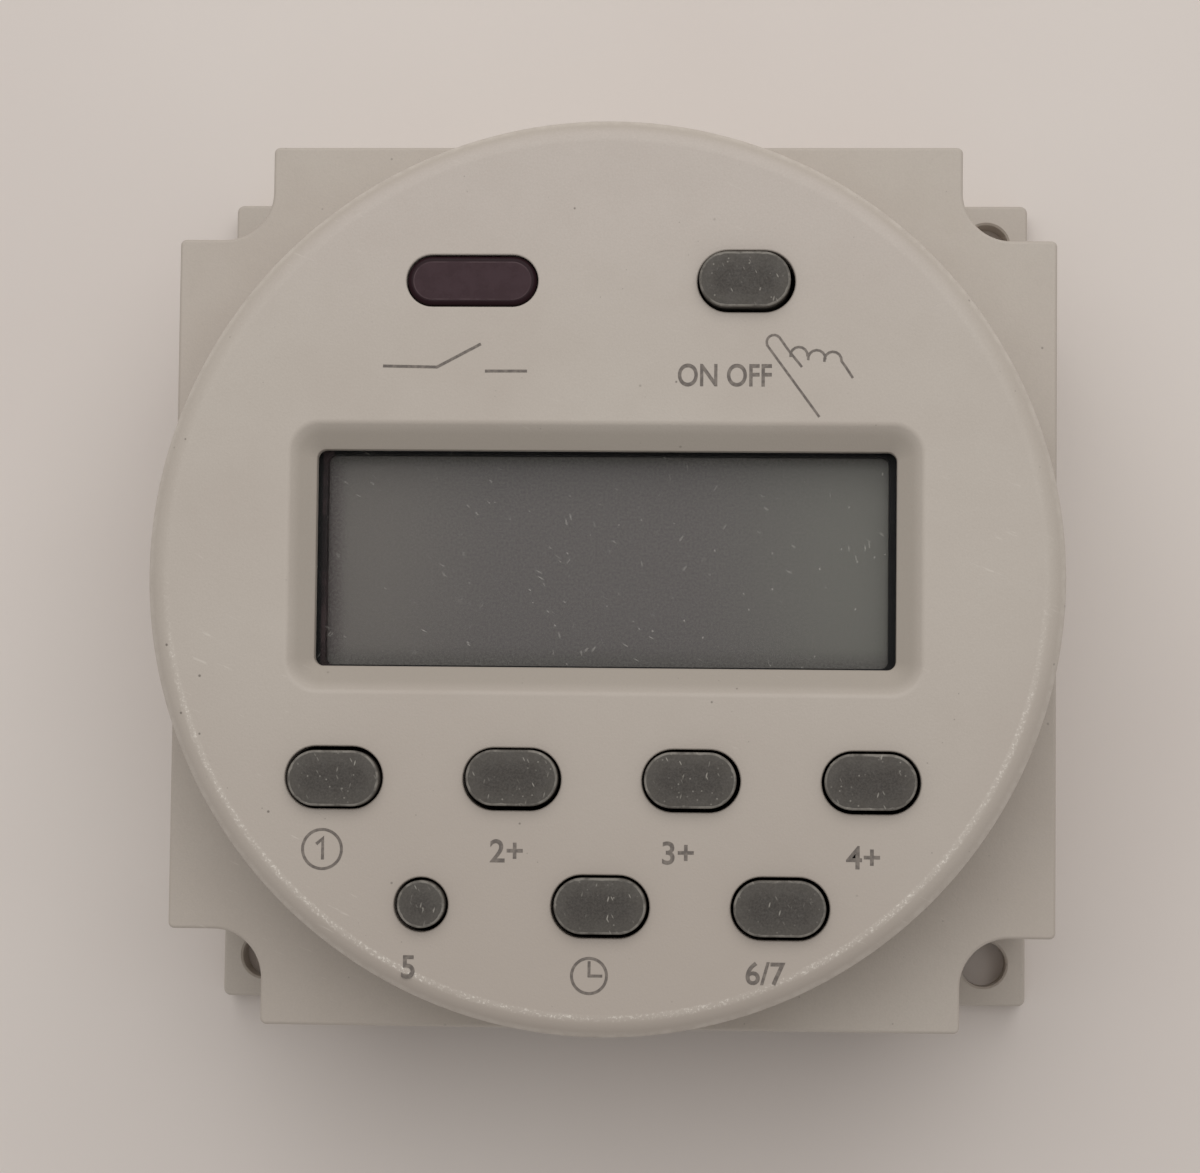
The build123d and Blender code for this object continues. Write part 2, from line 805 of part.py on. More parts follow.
def driver_transistor():
    """Half-round transistor with three leads."""
    radius = transistor_diameter / 2
    cut = transistor_diameter - transistor_flat
    outline = Circle(radius) - Pos(0, -radius + cut / 2) * Rectangle(transistor_diameter, cut)
    top = power_board_under - part_standoff
    body = rise(outline, top - transistor_height, top)
    for step in (-1, 0, 1):
        body += lead((step * lead_spacing / 2, 0), top, power_board_under)
    return Pos(*transistor_place, 0) * body


def clock_chip():
    """Drop of hard resin over the clock chip, under the display board."""
    slope = degrees(atan2((chip_diameter - chip_top_diameter) / 2, chip_height))
    drop = extrude(RegularPolygon(chip_diameter / 2, round_part_sides), chip_height, taper=slope)
    return Pos(*chip_place, board_under) * Rot(180, 0, 0) * drop


def watch_crystal():
    """Small can of the clock crystal, lying under the display board."""
    level = board_under - crystal_gap - crystal_diameter / 2
    return Pos(*crystal_place, level) * round_bar(Plane.YZ, crystal_diameter, crystal_length)


def link_header():
    """Plastic body that spaces the pins between the two boards."""
    bar = Pos(0, header_y) * Rectangle(header_pins * pin_spacing, header_width)
    for place in header_pin_places():
        bar -= Pos(*place) * Rectangle(header_pin, header_pin)
    return rise(bar, power_board_top, board_under - header_gap)


def link_pins():
    """Square pins from one board to the other."""
    pin = Rectangle(header_pin, header_pin)
    pins = [rise(Pos(*place) * pin, power_board_top, board_under) for place in header_pin_places()]
    return Compound(children=pins)


def nodes():
    """Every piece of the timer by its name."""
    pieces = {
        "front_cover": front_cover(),
        "rear_housing": rear_housing(),
        "window_lens": window_lens(),
        "indicator_lens": indicator_lens(),
        "indicator_led": indicator_led(),
        "lcd_frame": lcd_frame(),
        "keypad_mat": keypad_mat(),
        "manual_mat": manual_mat(),
        "display_board": display_board(),
        "power_board": power_board(),
        "terminal_blades": Compound(children=[terminal_blade(x) for x in blade_xs]),
        "board_screws": board_screws(),
        "housing_screws": housing_screws(),
        "film_capacitor": film_capacitor(),
        "filter_capacitor": filter_capacitor(),
        "rectifier_diodes": rectifier_diodes(),
        "varistor": varistor(),
        "dropper_resistor": lying_part(resistor_place, resistor_length, resistor_diameter, False),
        "driver_transistor": driver_transistor(),
        "clock_chip": clock_chip(),
        "watch_crystal": watch_crystal(),
        "link_header": link_header(),
        "link_pins": link_pins(),
    }
    pieces.update(display_sheets())
    pieces.update(display_strips())
    pieces.update(relay_parts())
    pieces.update(backup_cell())
    for name in key_places:
        pieces["key_" + name] = key(name)
        pieces["web_" + name] = key_web(name)
        pieces["pill_" + name] = contact_pill(name)
    return pieces


os.makedirs("parts", exist_ok=True)
for node_name, shape in nodes().items():
    export_step(shape, "parts/" + node_name + ".step")
    print(node_name, round(shape.volume, 2))
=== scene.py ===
# %% [markdown]
# # A digital timer switch, lying face up
# A square case carries a round drum. In its face are a display in a sunk window, eight rubber keys
# and a dark red indicator, and four ears at the rear take fixing screws. This file loads the solids
# that were made for the timer and gives every one its finish. The pieces that show most it makes
# again in finer mesh: cover, housing, keys with their webs, indicator, blades and case screws.
# Everything is in metres. Sizes are written in millimetres and turned into metres once.

import json
from math import atan2, cos, pi, radians, sin

import bmesh
import bpy
from mathutils import Matrix, Vector


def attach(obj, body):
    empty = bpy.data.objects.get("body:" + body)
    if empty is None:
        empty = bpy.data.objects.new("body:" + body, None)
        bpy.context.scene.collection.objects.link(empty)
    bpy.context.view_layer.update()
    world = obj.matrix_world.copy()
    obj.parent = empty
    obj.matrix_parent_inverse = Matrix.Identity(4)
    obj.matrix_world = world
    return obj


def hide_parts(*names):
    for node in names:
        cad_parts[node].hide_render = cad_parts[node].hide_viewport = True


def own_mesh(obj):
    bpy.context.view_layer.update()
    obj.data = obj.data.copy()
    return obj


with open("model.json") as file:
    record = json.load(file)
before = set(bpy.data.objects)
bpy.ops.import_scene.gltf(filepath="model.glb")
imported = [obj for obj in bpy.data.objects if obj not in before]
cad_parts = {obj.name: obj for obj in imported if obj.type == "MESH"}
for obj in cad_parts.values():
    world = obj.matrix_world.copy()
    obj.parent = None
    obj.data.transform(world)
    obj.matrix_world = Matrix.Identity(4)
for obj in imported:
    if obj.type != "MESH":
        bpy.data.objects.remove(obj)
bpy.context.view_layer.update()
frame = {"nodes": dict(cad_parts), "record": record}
nodes = frame["nodes"]
MM = 0.001

# %% New objects
def placed(name, data):
    """New object in the scene that shows data."""
    made = bpy.data.objects.new(name, data)
    bpy.context.scene.collection.objects.link(made)
    return made


def meshed(name, made):
    """New object from a bmesh that is ready."""
    mesh = bpy.data.meshes.new(name)
    made.to_mesh(mesh)
    made.free()
    return placed(name, mesh)


def tell(title, piece):
    """Prints how large a mesh has become."""
    print(title, "has", len(piece.data.polygons), "faces")


print("new objects go into", bpy.context.scene.collection.name)

# %% [markdown]
# ## Where the camera stands
# The photograph looks almost straight down at the face from a quarter of a metre, a little from the
# right and from below. Place, direction and up direction were found by matching the flange's
# corners, the round rim and the key holes. A camera looks along its own minus Z, so its matrix has
# right, up and backwards as its columns.

# %% Camera
CAMERA_PLACE = (12.46, -14.28, 253.2)
CAMERA_FORWARD = (-0.05713, 0.06089, -0.99651)
CAMERA_UP = (-0.00743, 0.99808, 0.06142)
LENS = 102.69
SENSOR = 36.0


def make_camera():
    """Camera with the photograph's place and direction."""
    data = bpy.data.cameras.new("timer_camera")
    data.lens = LENS
    data.sensor_width = SENSOR
    data.sensor_fit = "HORIZONTAL"
    data.clip_start = 0.005
    camera = placed("timer_camera", data)
    forward = Vector(CAMERA_FORWARD).normalized()
    right = forward.cross(Vector(CAMERA_UP)).normalized()
    up = right.cross(forward)
    turn = Matrix((right, up, -forward)).transposed().to_4x4()
    camera.matrix_world = Matrix.Translation(Vector(CAMERA_PLACE) * MM) @ turn
    bpy.context.scene.camera = camera
    return camera


camera = make_camera()
bpy.context.scene.view_settings.view_transform = "Standard"
print("camera stands", round(camera.location.length, 4), "m from the middle of the rear plane")

# %% [markdown]
# ## Small tools for node materials
# A material in Blender is a graph of nodes. These helpers add the nodes that most finishes share:
# noise of a real size, a ramp that turns noise into a mask, a mix of two colours and a bump. Sizes
# of noise are in millimetres, and a colour has the values from 0 to 255 that a picture shows.

# %% Helpers for finishes
def linear(colour):
    """Linear colour from the 0 to 255 values that a picture shows."""
    shares = [value / 255 for value in colour]
    light = [s / 12.92 if s <= 0.04045 else ((s + 0.055) / 1.055) ** 2.4 for s in shares]
    return (*light, 1.0)


class Finish:
    """A node material with one main shader and short calls that add what feeds it."""

    def __init__(self, name, colour, roughness, **sockets):
        self.material = bpy.data.materials.new(name)
        self.material.use_nodes = True
        self.tree = self.material.node_tree
        self.shader = self.tree.nodes["Principled BSDF"]
        self.colour = linear(colour)
        self.set("Base Color", self.colour)
        self.set("Roughness", roughness)
        for socket, value in sockets.items():
            self.set(socket.replace("_", " "), value)
        self.place = self.node("ShaderNodeTexCoord").outputs["Object"]
        self.material.diffuse_color = self.colour

    def feed(self, socket, value):
        """Gives a socket its value, or links it to another node's output."""
        if isinstance(value, bpy.types.NodeSocket):
            self.tree.links.new(value, socket)
        else:
            socket.default_value = value

    def set(self, socket, value):
        """Feeds the main shader."""
        self.feed(self.shader.inputs[socket], value)

    def node(self, kind, **values):
        """A new node; values name its input sockets, by number as i0, i1 and so on, or by word."""
        made = self.tree.nodes.new(kind)
        for socket, value in values.items():
            key = int(socket[1:]) if socket[1:].isdigit() else socket
            self.feed(made.inputs[key], value)
        return made

    def stretched(self, along_x, along_y, turn=0.0):
        """Coordinates turned and then squeezed, so that noise on them makes streaks."""
        turned = self.node("ShaderNodeMapping", Vector=self.place)
        turned.inputs["Rotation"].default_value = (0.0, 0.0, radians(turn))
        scale = (along_x, along_y, 1.0)
        return self.node("ShaderNodeMapping", Vector=turned.outputs[0], Scale=scale).outputs[0]

    def kept(self, name):
        """Value that the mesh keeps for its points under that name."""
        made = self.node("ShaderNodeAttribute")
        made.attribute_name = name
        return made.outputs["Fac"]

    def noise(self, size, detail=2.0, rough=0.5, place=None):
        """Noise whose patches are about size millimetres across."""
        values = {"Scale": 1 / (size * MM), "Detail": detail, "Roughness": rough}
        return self.node("ShaderNodeTexNoise", Vector=place or self.place, **values).outputs["Fac"]

    def cells(self, size, place=None, flat=False):
        """Distance to the nearest of points about size millimetres apart; flat ones are upright
        lines, for the top of a piece."""
        made = self.node("ShaderNodeTexVoronoi", Vector=place or self.place, Scale=1 / (size * MM))
        made.voronoi_dimensions = "2D" if flat else "3D"
        return made.outputs["Distance"]

    def ramp(self, value, low, high, start=0.0, end=1.0):
        """Goes from start to end as value goes from low to high, and stays there beyond."""
        made = self.node("ShaderNodeMapRange", i0=value, i1=low, i2=high, i3=start, i4=end)
        made.interpolation_type = "SMOOTHSTEP"
        return made.outputs[0]

    def patches(self, size, low, high, start=0.0, end=1.0, detail=3.0, rough=0.5, place=None):
        """Mask from noise: start where the noise is below low, end where it is above high."""
        return self.ramp(self.noise(size, detail, rough, place), low, high, start, end)

    def math(self, operation, a, b=0.0):
        """A sum, product or other simple operation on two values."""
        made = self.node("ShaderNodeMath", i0=a, i1=b)
        made.operation = operation
        return made.outputs[0]

    def times(self, a, b):
        """Product of two values."""
        return self.math("MULTIPLY", a, b)

    def axes(self):
        """The object's own X, Y and Z at each point, in metres."""
        return self.node("ShaderNodeSeparateXYZ", Vector=self.place).outputs

    def mix(self, share, a, b):
        """Colour that goes from a to b by share; a colour of three values is from a picture."""
        made = self.node("ShaderNodeMix")
        made.data_type = "RGBA"
        for socket, value in ((0, share), (6, a), (7, b)):
            picked = isinstance(value, tuple) and len(value) == 3
            self.feed(made.inputs[socket], linear(value) if picked else value)
        return made.outputs[2]

    def coat(self, share, colour):
        """Lays a colour over what the finish has so far, by share."""
        self.colour = self.mix(share, self.colour, colour)
        self.set("Base Color", self.colour)

    def bump(self, height, depth, under=None):
        """Surface that rises by depth millimetres where height is 1."""
        made = self.node("ShaderNodeBump", Strength=1.0, Distance=depth * MM, Height=height)
        if under is not None:
            self.feed(made.inputs["Normal"], under)
        return made.outputs["Normal"]

    def grain(self, size, depth, detail=2.0, under=None):
        """Bumps all over, about size across and depth deep, in millimetres."""
        self.set("Normal", self.bump(self.noise(size, detail), depth, under))


print("a mid grey of 128 is", round(linear((128, 128, 128))[0], 4), "in linear light")

# %% [markdown]
# ## The moulded case
# The case is unpainted, pale warm grey plastic with a very fine grain, a faint cloudiness, sparse
# dark specks and a few pale streaks. The face has a painted sheen at its upper end and painted
# shade in its lower half and on the lower rim. Along the rim's crest, strongest low down, small
# pale flecks are rubbing wear and painted glints; a painted highlight runs along the rim's outer
# edge, and painted shade lies on the window's sloping sides.
# Each of these marks is a threshold on noise: the noise sets how large the marks are, and the
# threshold sets how many there are.

# %% Case plastic
CASE_COLOUR = (190, 181, 171)
CASE_SHADE = (186, 176, 166)
CASE_GRAIN = (174, 165, 155)
SPECK_COLOUR = (92, 84, 76)
# pale colour of rubbed streaks and flecks, also of painted glints and a painted highlight on the
# rim
RUB_AND_HIGHLIGHT_COLOUR = (232, 225, 215)
# painted sheen of the upper face and painted shade of the lower face and rim
FACE_PAINTED_SHEEN = (194, 184, 176)
FACE_PAINTED_SHADE = (177, 166, 156)
# painted shade of the window's sloping sides
WINDOW_PAINTED_SHADE = (158, 149, 138)


def rim_wear_and_highlight_masks(made):
    """Two masks, 0 away from the rim: its crest, strongest low down, for rubbing wear and painted
    glints, and its outer edge for a painted highlight.
    """
    x, y, z = made.axes()
    reach = made.math("SQRT", made.math("ADD", made.times(x, x), made.times(y, y)))
    upper = made.ramp(z, 0.0306, 0.0309)
    crest = made.times(made.ramp(reach, 0.02835, 0.02855), made.ramp(reach, 0.02895, 0.02865))
    crest = made.times(crest, made.ramp(y, 0.002, -0.012, 0.1, 1.0))
    edge = made.times(made.ramp(reach, 0.02945, 0.0298), upper)
    return made.times(crest, upper), edge


def face_sheen_and_shade_masks(made):
    """Two masks on the face of the drum for painted light: a painted sheen at its upper end,
    and painted shade on its lower half with the rim.
    """
    x, y, z = made.axes()
    top = made.times(made.ramp(y, 0.013, 0.026, 0.0, 0.8), made.ramp(z, 0.0316, 0.0319))
    low = made.times(made.ramp(y, 0.001, -0.025, 0.0, 0.9), made.ramp(z, 0.0304, 0.031))
    low = made.times(low, made.ramp(made.math("ABSOLUTE", x), 0.012, 0.026, 1.0, 0.55))
    return top, low


def window_slope_shade_mask(made):
    """1 on the sloping sides round the display, where painted shade goes, 0 elsewhere."""
    x, y, z = made.axes()
    across = made.ramp(made.math("ABSOLUTE", x), 0.0215, 0.0208)
    down = made.ramp(made.math("ABSOLUTE", made.math("SUBTRACT", y, 0.0011)), 0.0096, 0.009)
    level = made.times(made.ramp(z, 0.03199, 0.0314), made.ramp(z, 0.0302, 0.0305))
    return made.times(made.times(across, down), level)


def case_plastic(name, speck_share, is_cover):
    """Pale grey plastic; speck_share says how strongly the scattered specks show."""
    made = Finish(name, CASE_COLOUR, 0.5, IOR=1.5)
    made.coat(made.patches(17, 0.35, 0.65), CASE_SHADE)
    if is_cover:
        # painted light: a sheen on the upper face, shade on the lower face and the lower rim
        top, low = face_sheen_and_shade_masks(made)
        made.coat(top, FACE_PAINTED_SHEEN)
        made.coat(low, FACE_PAINTED_SHADE)
    made.coat(made.patches(0.13, 0.3, 0.7, 0.0, 0.3, rough=0.7), CASE_GRAIN)
    turned = made.stretched(1.0, 7.0, 24.0)
    streaks = made.patches(2.4, 0.66, 0.74, rough=0.6, place=turned)
    streaks = made.times(streaks, made.patches(13, 0.5, 0.66, detail=1.0))
    made.coat(made.times(streaks, 0.22), RUB_AND_HIGHLIGHT_COLOUR)
    speck = made.ramp(made.cells(1.7), 0.07, 0.03)
    speck = made.times(speck, made.patches(5, 0.46, 0.6, detail=1.0))
    fine = made.ramp(made.cells(0.9), 0.07, 0.03)
    fine = made.times(fine, made.patches(6, 0.54, 0.6, detail=1.0))
    speck = made.math("MAXIMUM", speck, made.times(fine, 0.6))
    made.coat(made.times(speck, speck_share), SPECK_COLOUR)
    if is_cover:
        # pale flecks along the rim's crest, strongest low down: rubbing wear and painted glints
        crest, edge = rim_wear_and_highlight_masks(made)
        fleck = made.patches(0.2, 0.5, 0.66, 0.14, rough=0.7)
        fleck = made.times(fleck, made.patches(4.0, 0.35, 0.65, 0.5, detail=2.0))
        made.coat(made.times(fleck, crest), RUB_AND_HIGHLIGHT_COLOUR)
        # painted highlight along the rim's outer edge
        uneven = made.patches(0.8, 0.3, 0.7, 0.1, 0.3, rough=0.6)
        made.coat(made.times(edge, uneven), RUB_AND_HIGHLIGHT_COLOUR)
        # painted shade on the window's sloping sides
        made.coat(made.times(window_slope_shade_mask(made), 0.5), WINDOW_PAINTED_SHADE)
    made.set("Roughness", made.patches(3.5, 0.4, 0.7, 0.46, 0.56, detail=4.0, rough=0.6))
    made.grain(0.9, 0.008, under=made.bump(made.noise(0.14), 0.009))
    return made.material


cover_plastic = case_plastic("cover plastic", 0.75, True)
housing_plastic = case_plastic("housing plastic", 0.8, False)
print("case finishes:", cover_plastic.name, "and", housing_plastic.name)

# %% [markdown]
# ## Rubber, glass and the display
# The keys are dark grey silicone, darkest in the middle of the top and paler towards its edge,
# where a thin, patchy line is a painted highlight; they have small nicks and dust. The display
# under its clear sheet is off, so it is a dark grey film, a little brown at the left and greener at
# the right. Painted shade darkens its border, and at the left that border also has the polariser's
# brown edge. The mesh of a key keeps a value called band, from 0 in the middle of its top to 1 at
# the edge, for its finish.

# %% Key rubber
def key_rubber():
    """Dark silicone, paler towards the edge of the top, with a patchy painted highlight along that
    edge, pale dust and small nicks.
    """
    made = Finish("key rubber", (84, 79, 74), 0.62, IOR=1.43)
    band = made.kept("band")
    uneven = made.math("ADD", band, made.patches(0.8, 0.3, 0.7, -0.07, 0.07))
    made.colour = made.mix(made.ramp(uneven, 0.0, 0.85), (60, 56, 52), (76, 72, 67))
    made.coat(made.patches(0.16, 0.34, 0.66, 0.0, 0.45, rough=0.75), (96, 91, 85))
    # patchy painted highlight along the edge of the top
    worn = made.patches(0.9, 0.34, 0.6, 0.1, 0.62, rough=0.6)
    made.coat(made.times(made.ramp(band, 0.95, 0.99), worn), (150, 145, 137))
    dust = made.times(made.ramp(made.cells(0.62, flat=True), 0.12, 0.05), 0.42)
    marks = made.times(dust, made.patches(0.9, 0.48, 0.66, detail=2.0))
    for turn, size in ((63.0, 2.3), (104.0, 2.7)):
        nick = made.ramp(made.cells(size, made.stretched(1.0, 4.2, turn), True), 0.085, 0.04)
        nick = made.times(nick, made.patches(1.1, 0.46, 0.72, 0.0, 0.62, detail=1.0))
        marks = made.math("MAXIMUM", marks, nick)
    made.coat(marks, (176, 171, 162))
    made.set("Roughness", made.patches(0.5, 0.3, 0.7, 0.56, 0.7))
    made.grain(0.1, 0.01, detail=3.0)
    return made.material


rubber = key_rubber()
carbon = Finish("carbon rubber", (38, 38, 38), 0.7)
carbon.grain(0.1, 0.01)
print("rubber finishes:", rubber.name, carbon.material.name)

# %% Clear window sheet
def clear_sheet():
    """Clear plastic, seen mostly through, with a faint even haze painted in place of its
    reflection, and dust and short scratches on it.
    """
    made = Finish("window sheet", (190, 187, 180), 0.2, IOR=1.49, Specular_IOR_Level=0.12)
    dust = made.ramp(made.cells(1.5, flat=True), 0.05, 0.02)
    marks = made.times(dust, made.patches(2.5, 0.44, 0.64, 0.0, 0.6, detail=2.0))
    for turn, size in ((28.0, 6.6), (-52.0, 7.4), (83.0, 6.9)):
        scratch = made.ramp(made.cells(size, made.stretched(1.0, 7.0, turn), True), 0.046, 0.016)
        turned = made.stretched(1.0, 1.0, turn)
        kept = made.patches(5.0, 0.46, 0.72, 0.0, 0.52, detail=1.0, place=turned)
        marks = made.math("MAXIMUM", marks, made.times(scratch, kept))
    # the faint pale haze left where there are no marks is a painted reflection
    made.set("Alpha", made.ramp(marks, 0.0, 1.0, 0.008, 0.6))
    return made.material


window_sheet = clear_sheet()
print("window finish:", window_sheet.name)

# %% Display film
FILM_LEFT = -18.5 * MM
FILM_TOP = 8.05 * MM
FILM_LOW = -5.85 * MM


def display_film():
    """Dark film of a display that is off, with a slow shift of hue and a border darkened by painted
    shade; at the left that border also has the polariser's brown edge.
    """
    made = Finish("display film", (88, 85, 83), 0.42, IOR=1.5)
    x, y, _ = made.axes()
    brown = made.ramp(x, -0.017, -0.006, 1.0, 0.0)
    made.colour = made.mix(brown, (76, 71, 71), (91, 86, 82))
    made.coat(made.ramp(x, 0.004, 0.019), (94, 94, 87))
    # left border: the polariser's brown edge, darkened by painted shade
    left = made.ramp(x, FILM_LEFT + 1.5 * MM, FILM_LEFT + 0.2 * MM)
    made.coat(made.times(left, 0.9), (58, 47, 47))
    # painted shade along the top and lower border, under the window's edges
    top = made.ramp(y, FILM_TOP - 0.9 * MM, FILM_TOP, 0.0, 0.75)
    low = made.ramp(y, FILM_LOW + 1.5 * MM, FILM_LOW, 0.0, 0.8)
    made.coat(made.math("MAXIMUM", top, low), (58, 55, 50))
    made.coat(made.patches(0.16, 0.34, 0.66, 0.0, 0.4, rough=0.7), (106, 103, 98))
    made.grain(0.5, 0.002)
    return made.material


film = display_film()
glass = Finish("display glass", (60, 62, 60), 0.1, IOR=1.52)
glass.set("Alpha", glass.patches(9, 0.3, 0.7, 0.06, 0.09, detail=1.0))
print("display finishes:", film.name, glass.material.name)

# %% Plain finishes of the inside
def plain(name, colour, roughness, grain, depth, **sockets):
    """A finish of one colour with slow clouding and a fine grain."""
    made = Finish(name, colour, roughness, **sockets)
    darker = tuple(c * 0.8 for c in made.colour[:3]) + (1.0,)
    made.coat(made.patches(3, 0.35, 0.65), darker)
    made.grain(grain, depth)
    return made.material


def black_moulding():
    """Black plastic; beside the left edge of the display's film it is browner with painted light
    that bleeds through the display's edge.
    """
    made = Finish("black moulding", (9, 9, 11), 0.6, Specular_IOR_Level=0.22)
    x, _, z = made.axes()
    # painted light from the display's edge, as a browner patch
    painted_edge_light = made.times(made.ramp(x, -18.9 * MM, -18.7 * MM), made.ramp(x, -18.0 * MM, -18.2 * MM))
    painted_edge_light = made.times(painted_edge_light, made.ramp(z, 27.0 * MM, 27.4 * MM))
    painted_edge_light = made.times(painted_edge_light, made.patches(2.2, 0.4, 0.56, 0.3))
    made.coat(made.patches(3, 0.35, 0.65), (13, 13, 14))
    made.coat(painted_edge_light, (58, 46, 47))
    made.grain(0.2, 0.01)
    return made.material


inside_finishes = {
    "black_plastic": black_moulding(),
    "strip_rubber": plain("layered strip", (70, 70, 72), 0.7, 0.15, 0.01),
    "board": plain("green board", (28, 92, 52), 0.35, 0.6, 0.006),
    "power_board": plain("tan board", (166, 124, 78), 0.55, 0.4, 0.01),
    "terminal_metal": plain("tinned brass", (204, 202, 196), 0.4, 0.12, 0.004, Metallic=1.0),
    "screw_steel": plain("zinc plating", (186, 186, 182), 0.32, 0.12, 0.004, Metallic=1.0),
    "relay_plastic": plain("relay moulding", (34, 50, 84), 0.4, 0.3, 0.008),
    "film_box": plain("capacitor box", (190, 146, 48), 0.42, 0.3, 0.008),
    "can_sleeve": plain("capacitor sleeve", (24, 30, 46), 0.3, 0.8, 0.006),
    "cell_steel": plain("cell steel", (196, 196, 194), 0.24, 0.2, 0.003, Metallic=1.0),
    "tab_steel": plain("tab steel", (180, 180, 178), 0.3, 0.2, 0.003, Metallic=1.0),
    "diode_black": plain("black epoxy", (30, 30, 31), 0.55, 0.15, 0.008),
    "disc_blue": plain("blue coating", (38, 84, 150), 0.4, 0.5, 0.01),
    "resistor_coat": plain("grey blue lacquer", (118, 130, 136), 0.45, 0.25, 0.008),
    "resin": plain("black resin", (20, 20, 21), 0.3, 0.9, 0.02),
    "can_metal": plain("crystal can", (200, 200, 198), 0.25, 0.2, 0.003, Metallic=1.0),
    "pin_metal": plain("tinned pins", (206, 202, 190), 0.28, 0.2, 0.003, Metallic=1.0),
    "lamp": plain("lamp resin", (150, 40, 36), 0.25, 0.6, 0.004),
}
print("finishes inside the case:", len(inside_finishes))


# %% Indicator finish
def indicator_plastic():
    """Dark red tinted plastic, slightly dull from wear, with painted shade that makes its rounded
    edge nearly black and a painted highlight line just inside that edge.
    """
    made = Finish("indicator plastic", (58, 40, 45), 0.3, IOR=1.42, Specular_IOR_Level=0.16)
    worn = made.patches(0.9, 0.35, 0.65, detail=4.0, rough=0.6)
    made.colour = made.mix(worn, (56, 37, 42), (63, 45, 50))
    band = made.kept("band")
    # painted shade on the rounded edge
    made.coat(made.ramp(band, 0.45, 0.9), (38, 20, 25))
    # painted highlight: a thin pale line just inside the edge
    line = made.times(made.ramp(band, 0.2, 0.4), made.ramp(band, 0.62, 0.45))
    line = made.times(line, made.patches(1.4, 0.38, 0.62, 0.1, 0.55))
    made.coat(line, (104, 88, 90))
    made.set("Roughness", made.patches(0.9, 0.3, 0.7, 0.24, 0.34))
    made.grain(0.35, 0.004)
    return made.material


red_plastic = indicator_plastic()
print("indicator finish:", red_plastic.name)

# %% Every solid gets its finish
slot_finish = {
    "case": housing_plastic,
    "window": window_sheet,
    "red_window": red_plastic,
    "display_film": film,
    "display_glass": glass.material,
    "key_rubber": rubber,
    "carbon": carbon.material,
    **inside_finishes,
}
node_slot = {p["node"]: p["material_slot"] for p in frame["record"]["subparts"]}
for name, solid in nodes.items():
    solid.data.materials.clear()
    solid.data.materials.append(slot_finish[node_slot[name]])
print("solids dressed:", len(node_slot))

# %% [markdown]
# ## Outlines that can grow and shrink
# Moulded pieces and cutters are all built the same way. A flat outline is drawn at many heights, a
# little smaller or larger each time, and neighbouring outlines are joined by faces. With the sizes
# on an arc, an edge comes out truly round. An outline keeps its number of points, so each point has
# its partner on the next one. A cutter goes on a little past the surface that it opens.

# %% Outline helpers
SKIN = 0.02
PAST = 0.5


def arc(centre, radius, start, end, steps):
    """Points on an arc, angles in degrees."""
    angles = [radians(start + (end - start) * i / steps) for i in range(steps + 1)]
    return [(centre[0] + radius * cos(a), centre[1] + radius * sin(a)) for a in angles]


def circle(radius, steps, centre=(0, 0)):
    """Round outline, about the middle of the face unless it has a centre of its own."""
    return arc(centre, radius, 0, 360 - 360 / steps, steps - 1)


def rounded_box(centre, length, height, radius, grow, steps=12):
    """Rectangle with round corners, moved outwards by grow."""
    r = max(radius + grow, 0.02)
    x, y = length / 2 + grow - r, height / 2 + grow - r
    points = []
    for turn, (sx, sy) in enumerate(((1, 1), (-1, 1), (-1, -1), (1, -1))):
        points += arc((centre[0] + sx * x, centre[1] + sy * y), r, 90 * turn, 90 * turn + 90, steps)
    return points


def box_outline(centre, length, width, radius, steps=4):
    """Outline of a round-cornered rectangle as a function of its growth."""
    return lambda grow: rounded_box(centre, length, width, radius, grow, steps)


def ring_outline(centre, radius, steps=40):
    """Outline of a circle as a function of its growth."""
    return lambda grow: circle(radius + grow, steps, centre)


def stack(name, outlines):
    """Closed mesh through outlines, from the bottom up: each is a list of points, a height and,
    if it has one, the value that its points keep as band."""
    made = bmesh.new()
    band = made.verts.layers.float.new("band")
    rings = []
    for points, height, *value in outlines:
        rings.append([made.verts.new((x * MM, y * MM, height * MM)) for x, y in points])
        for point in rings[-1]:
            point[band] = value[0] if value else 0.0
    for low, high in zip(rings, rings[1:]):
        for i in range(len(low)):
            j = (i + 1) % len(low)
            made.faces.new((low[i], low[j], high[j], high[i]))
    made.faces.new(list(reversed(rings[0])))
    made.faces.new(rings[-1])
    bmesh.ops.remove_doubles(made, verts=made.verts, dist=1e-7)
    bmesh.ops.recalc_face_normals(made, faces=made.faces)
    return meshed(name, made)


def grown_stack(name, outline, profile):
    """The same from one outline, with how far it is grown at each height."""
    return stack(name, [(outline(grow), *level) for grow, *level in profile])


def edge_round(radius, height, steps=4):
    """How far in and how high an upper edge of that radius goes, from its side to its top."""
    angles = [pi / 2 * i / steps for i in range(steps + 1)]
    return [(-radius * (1 - cos(a)), height - radius * (1 - sin(a))) for a in angles]


def foot_round(radius, height, steps=3):
    """The same for a lower edge whose bottom is at height, from its bottom to its side."""
    levels = reversed(edge_round(radius, height, steps))
    return [(inset, 2 * height - level) for inset, level in levels]


def box_block(name, centre, length, width, low, high, radius=0.05):
    """Upright block with slightly round corners."""
    outline = rounded_box(centre, length, width, radius, 0, 3)
    return stack(name, [(outline, low), (outline, high)])


def round_block(name, centre, radius, low, high, steps=32):
    """Upright round bar."""
    outline = circle(radius, steps, centre)
    return stack(name, [(outline, low), (outline, high)])


print("a quarter round of 1 mm goes through", [round(out, 2) for out, _ in edge_round(1, 0)])

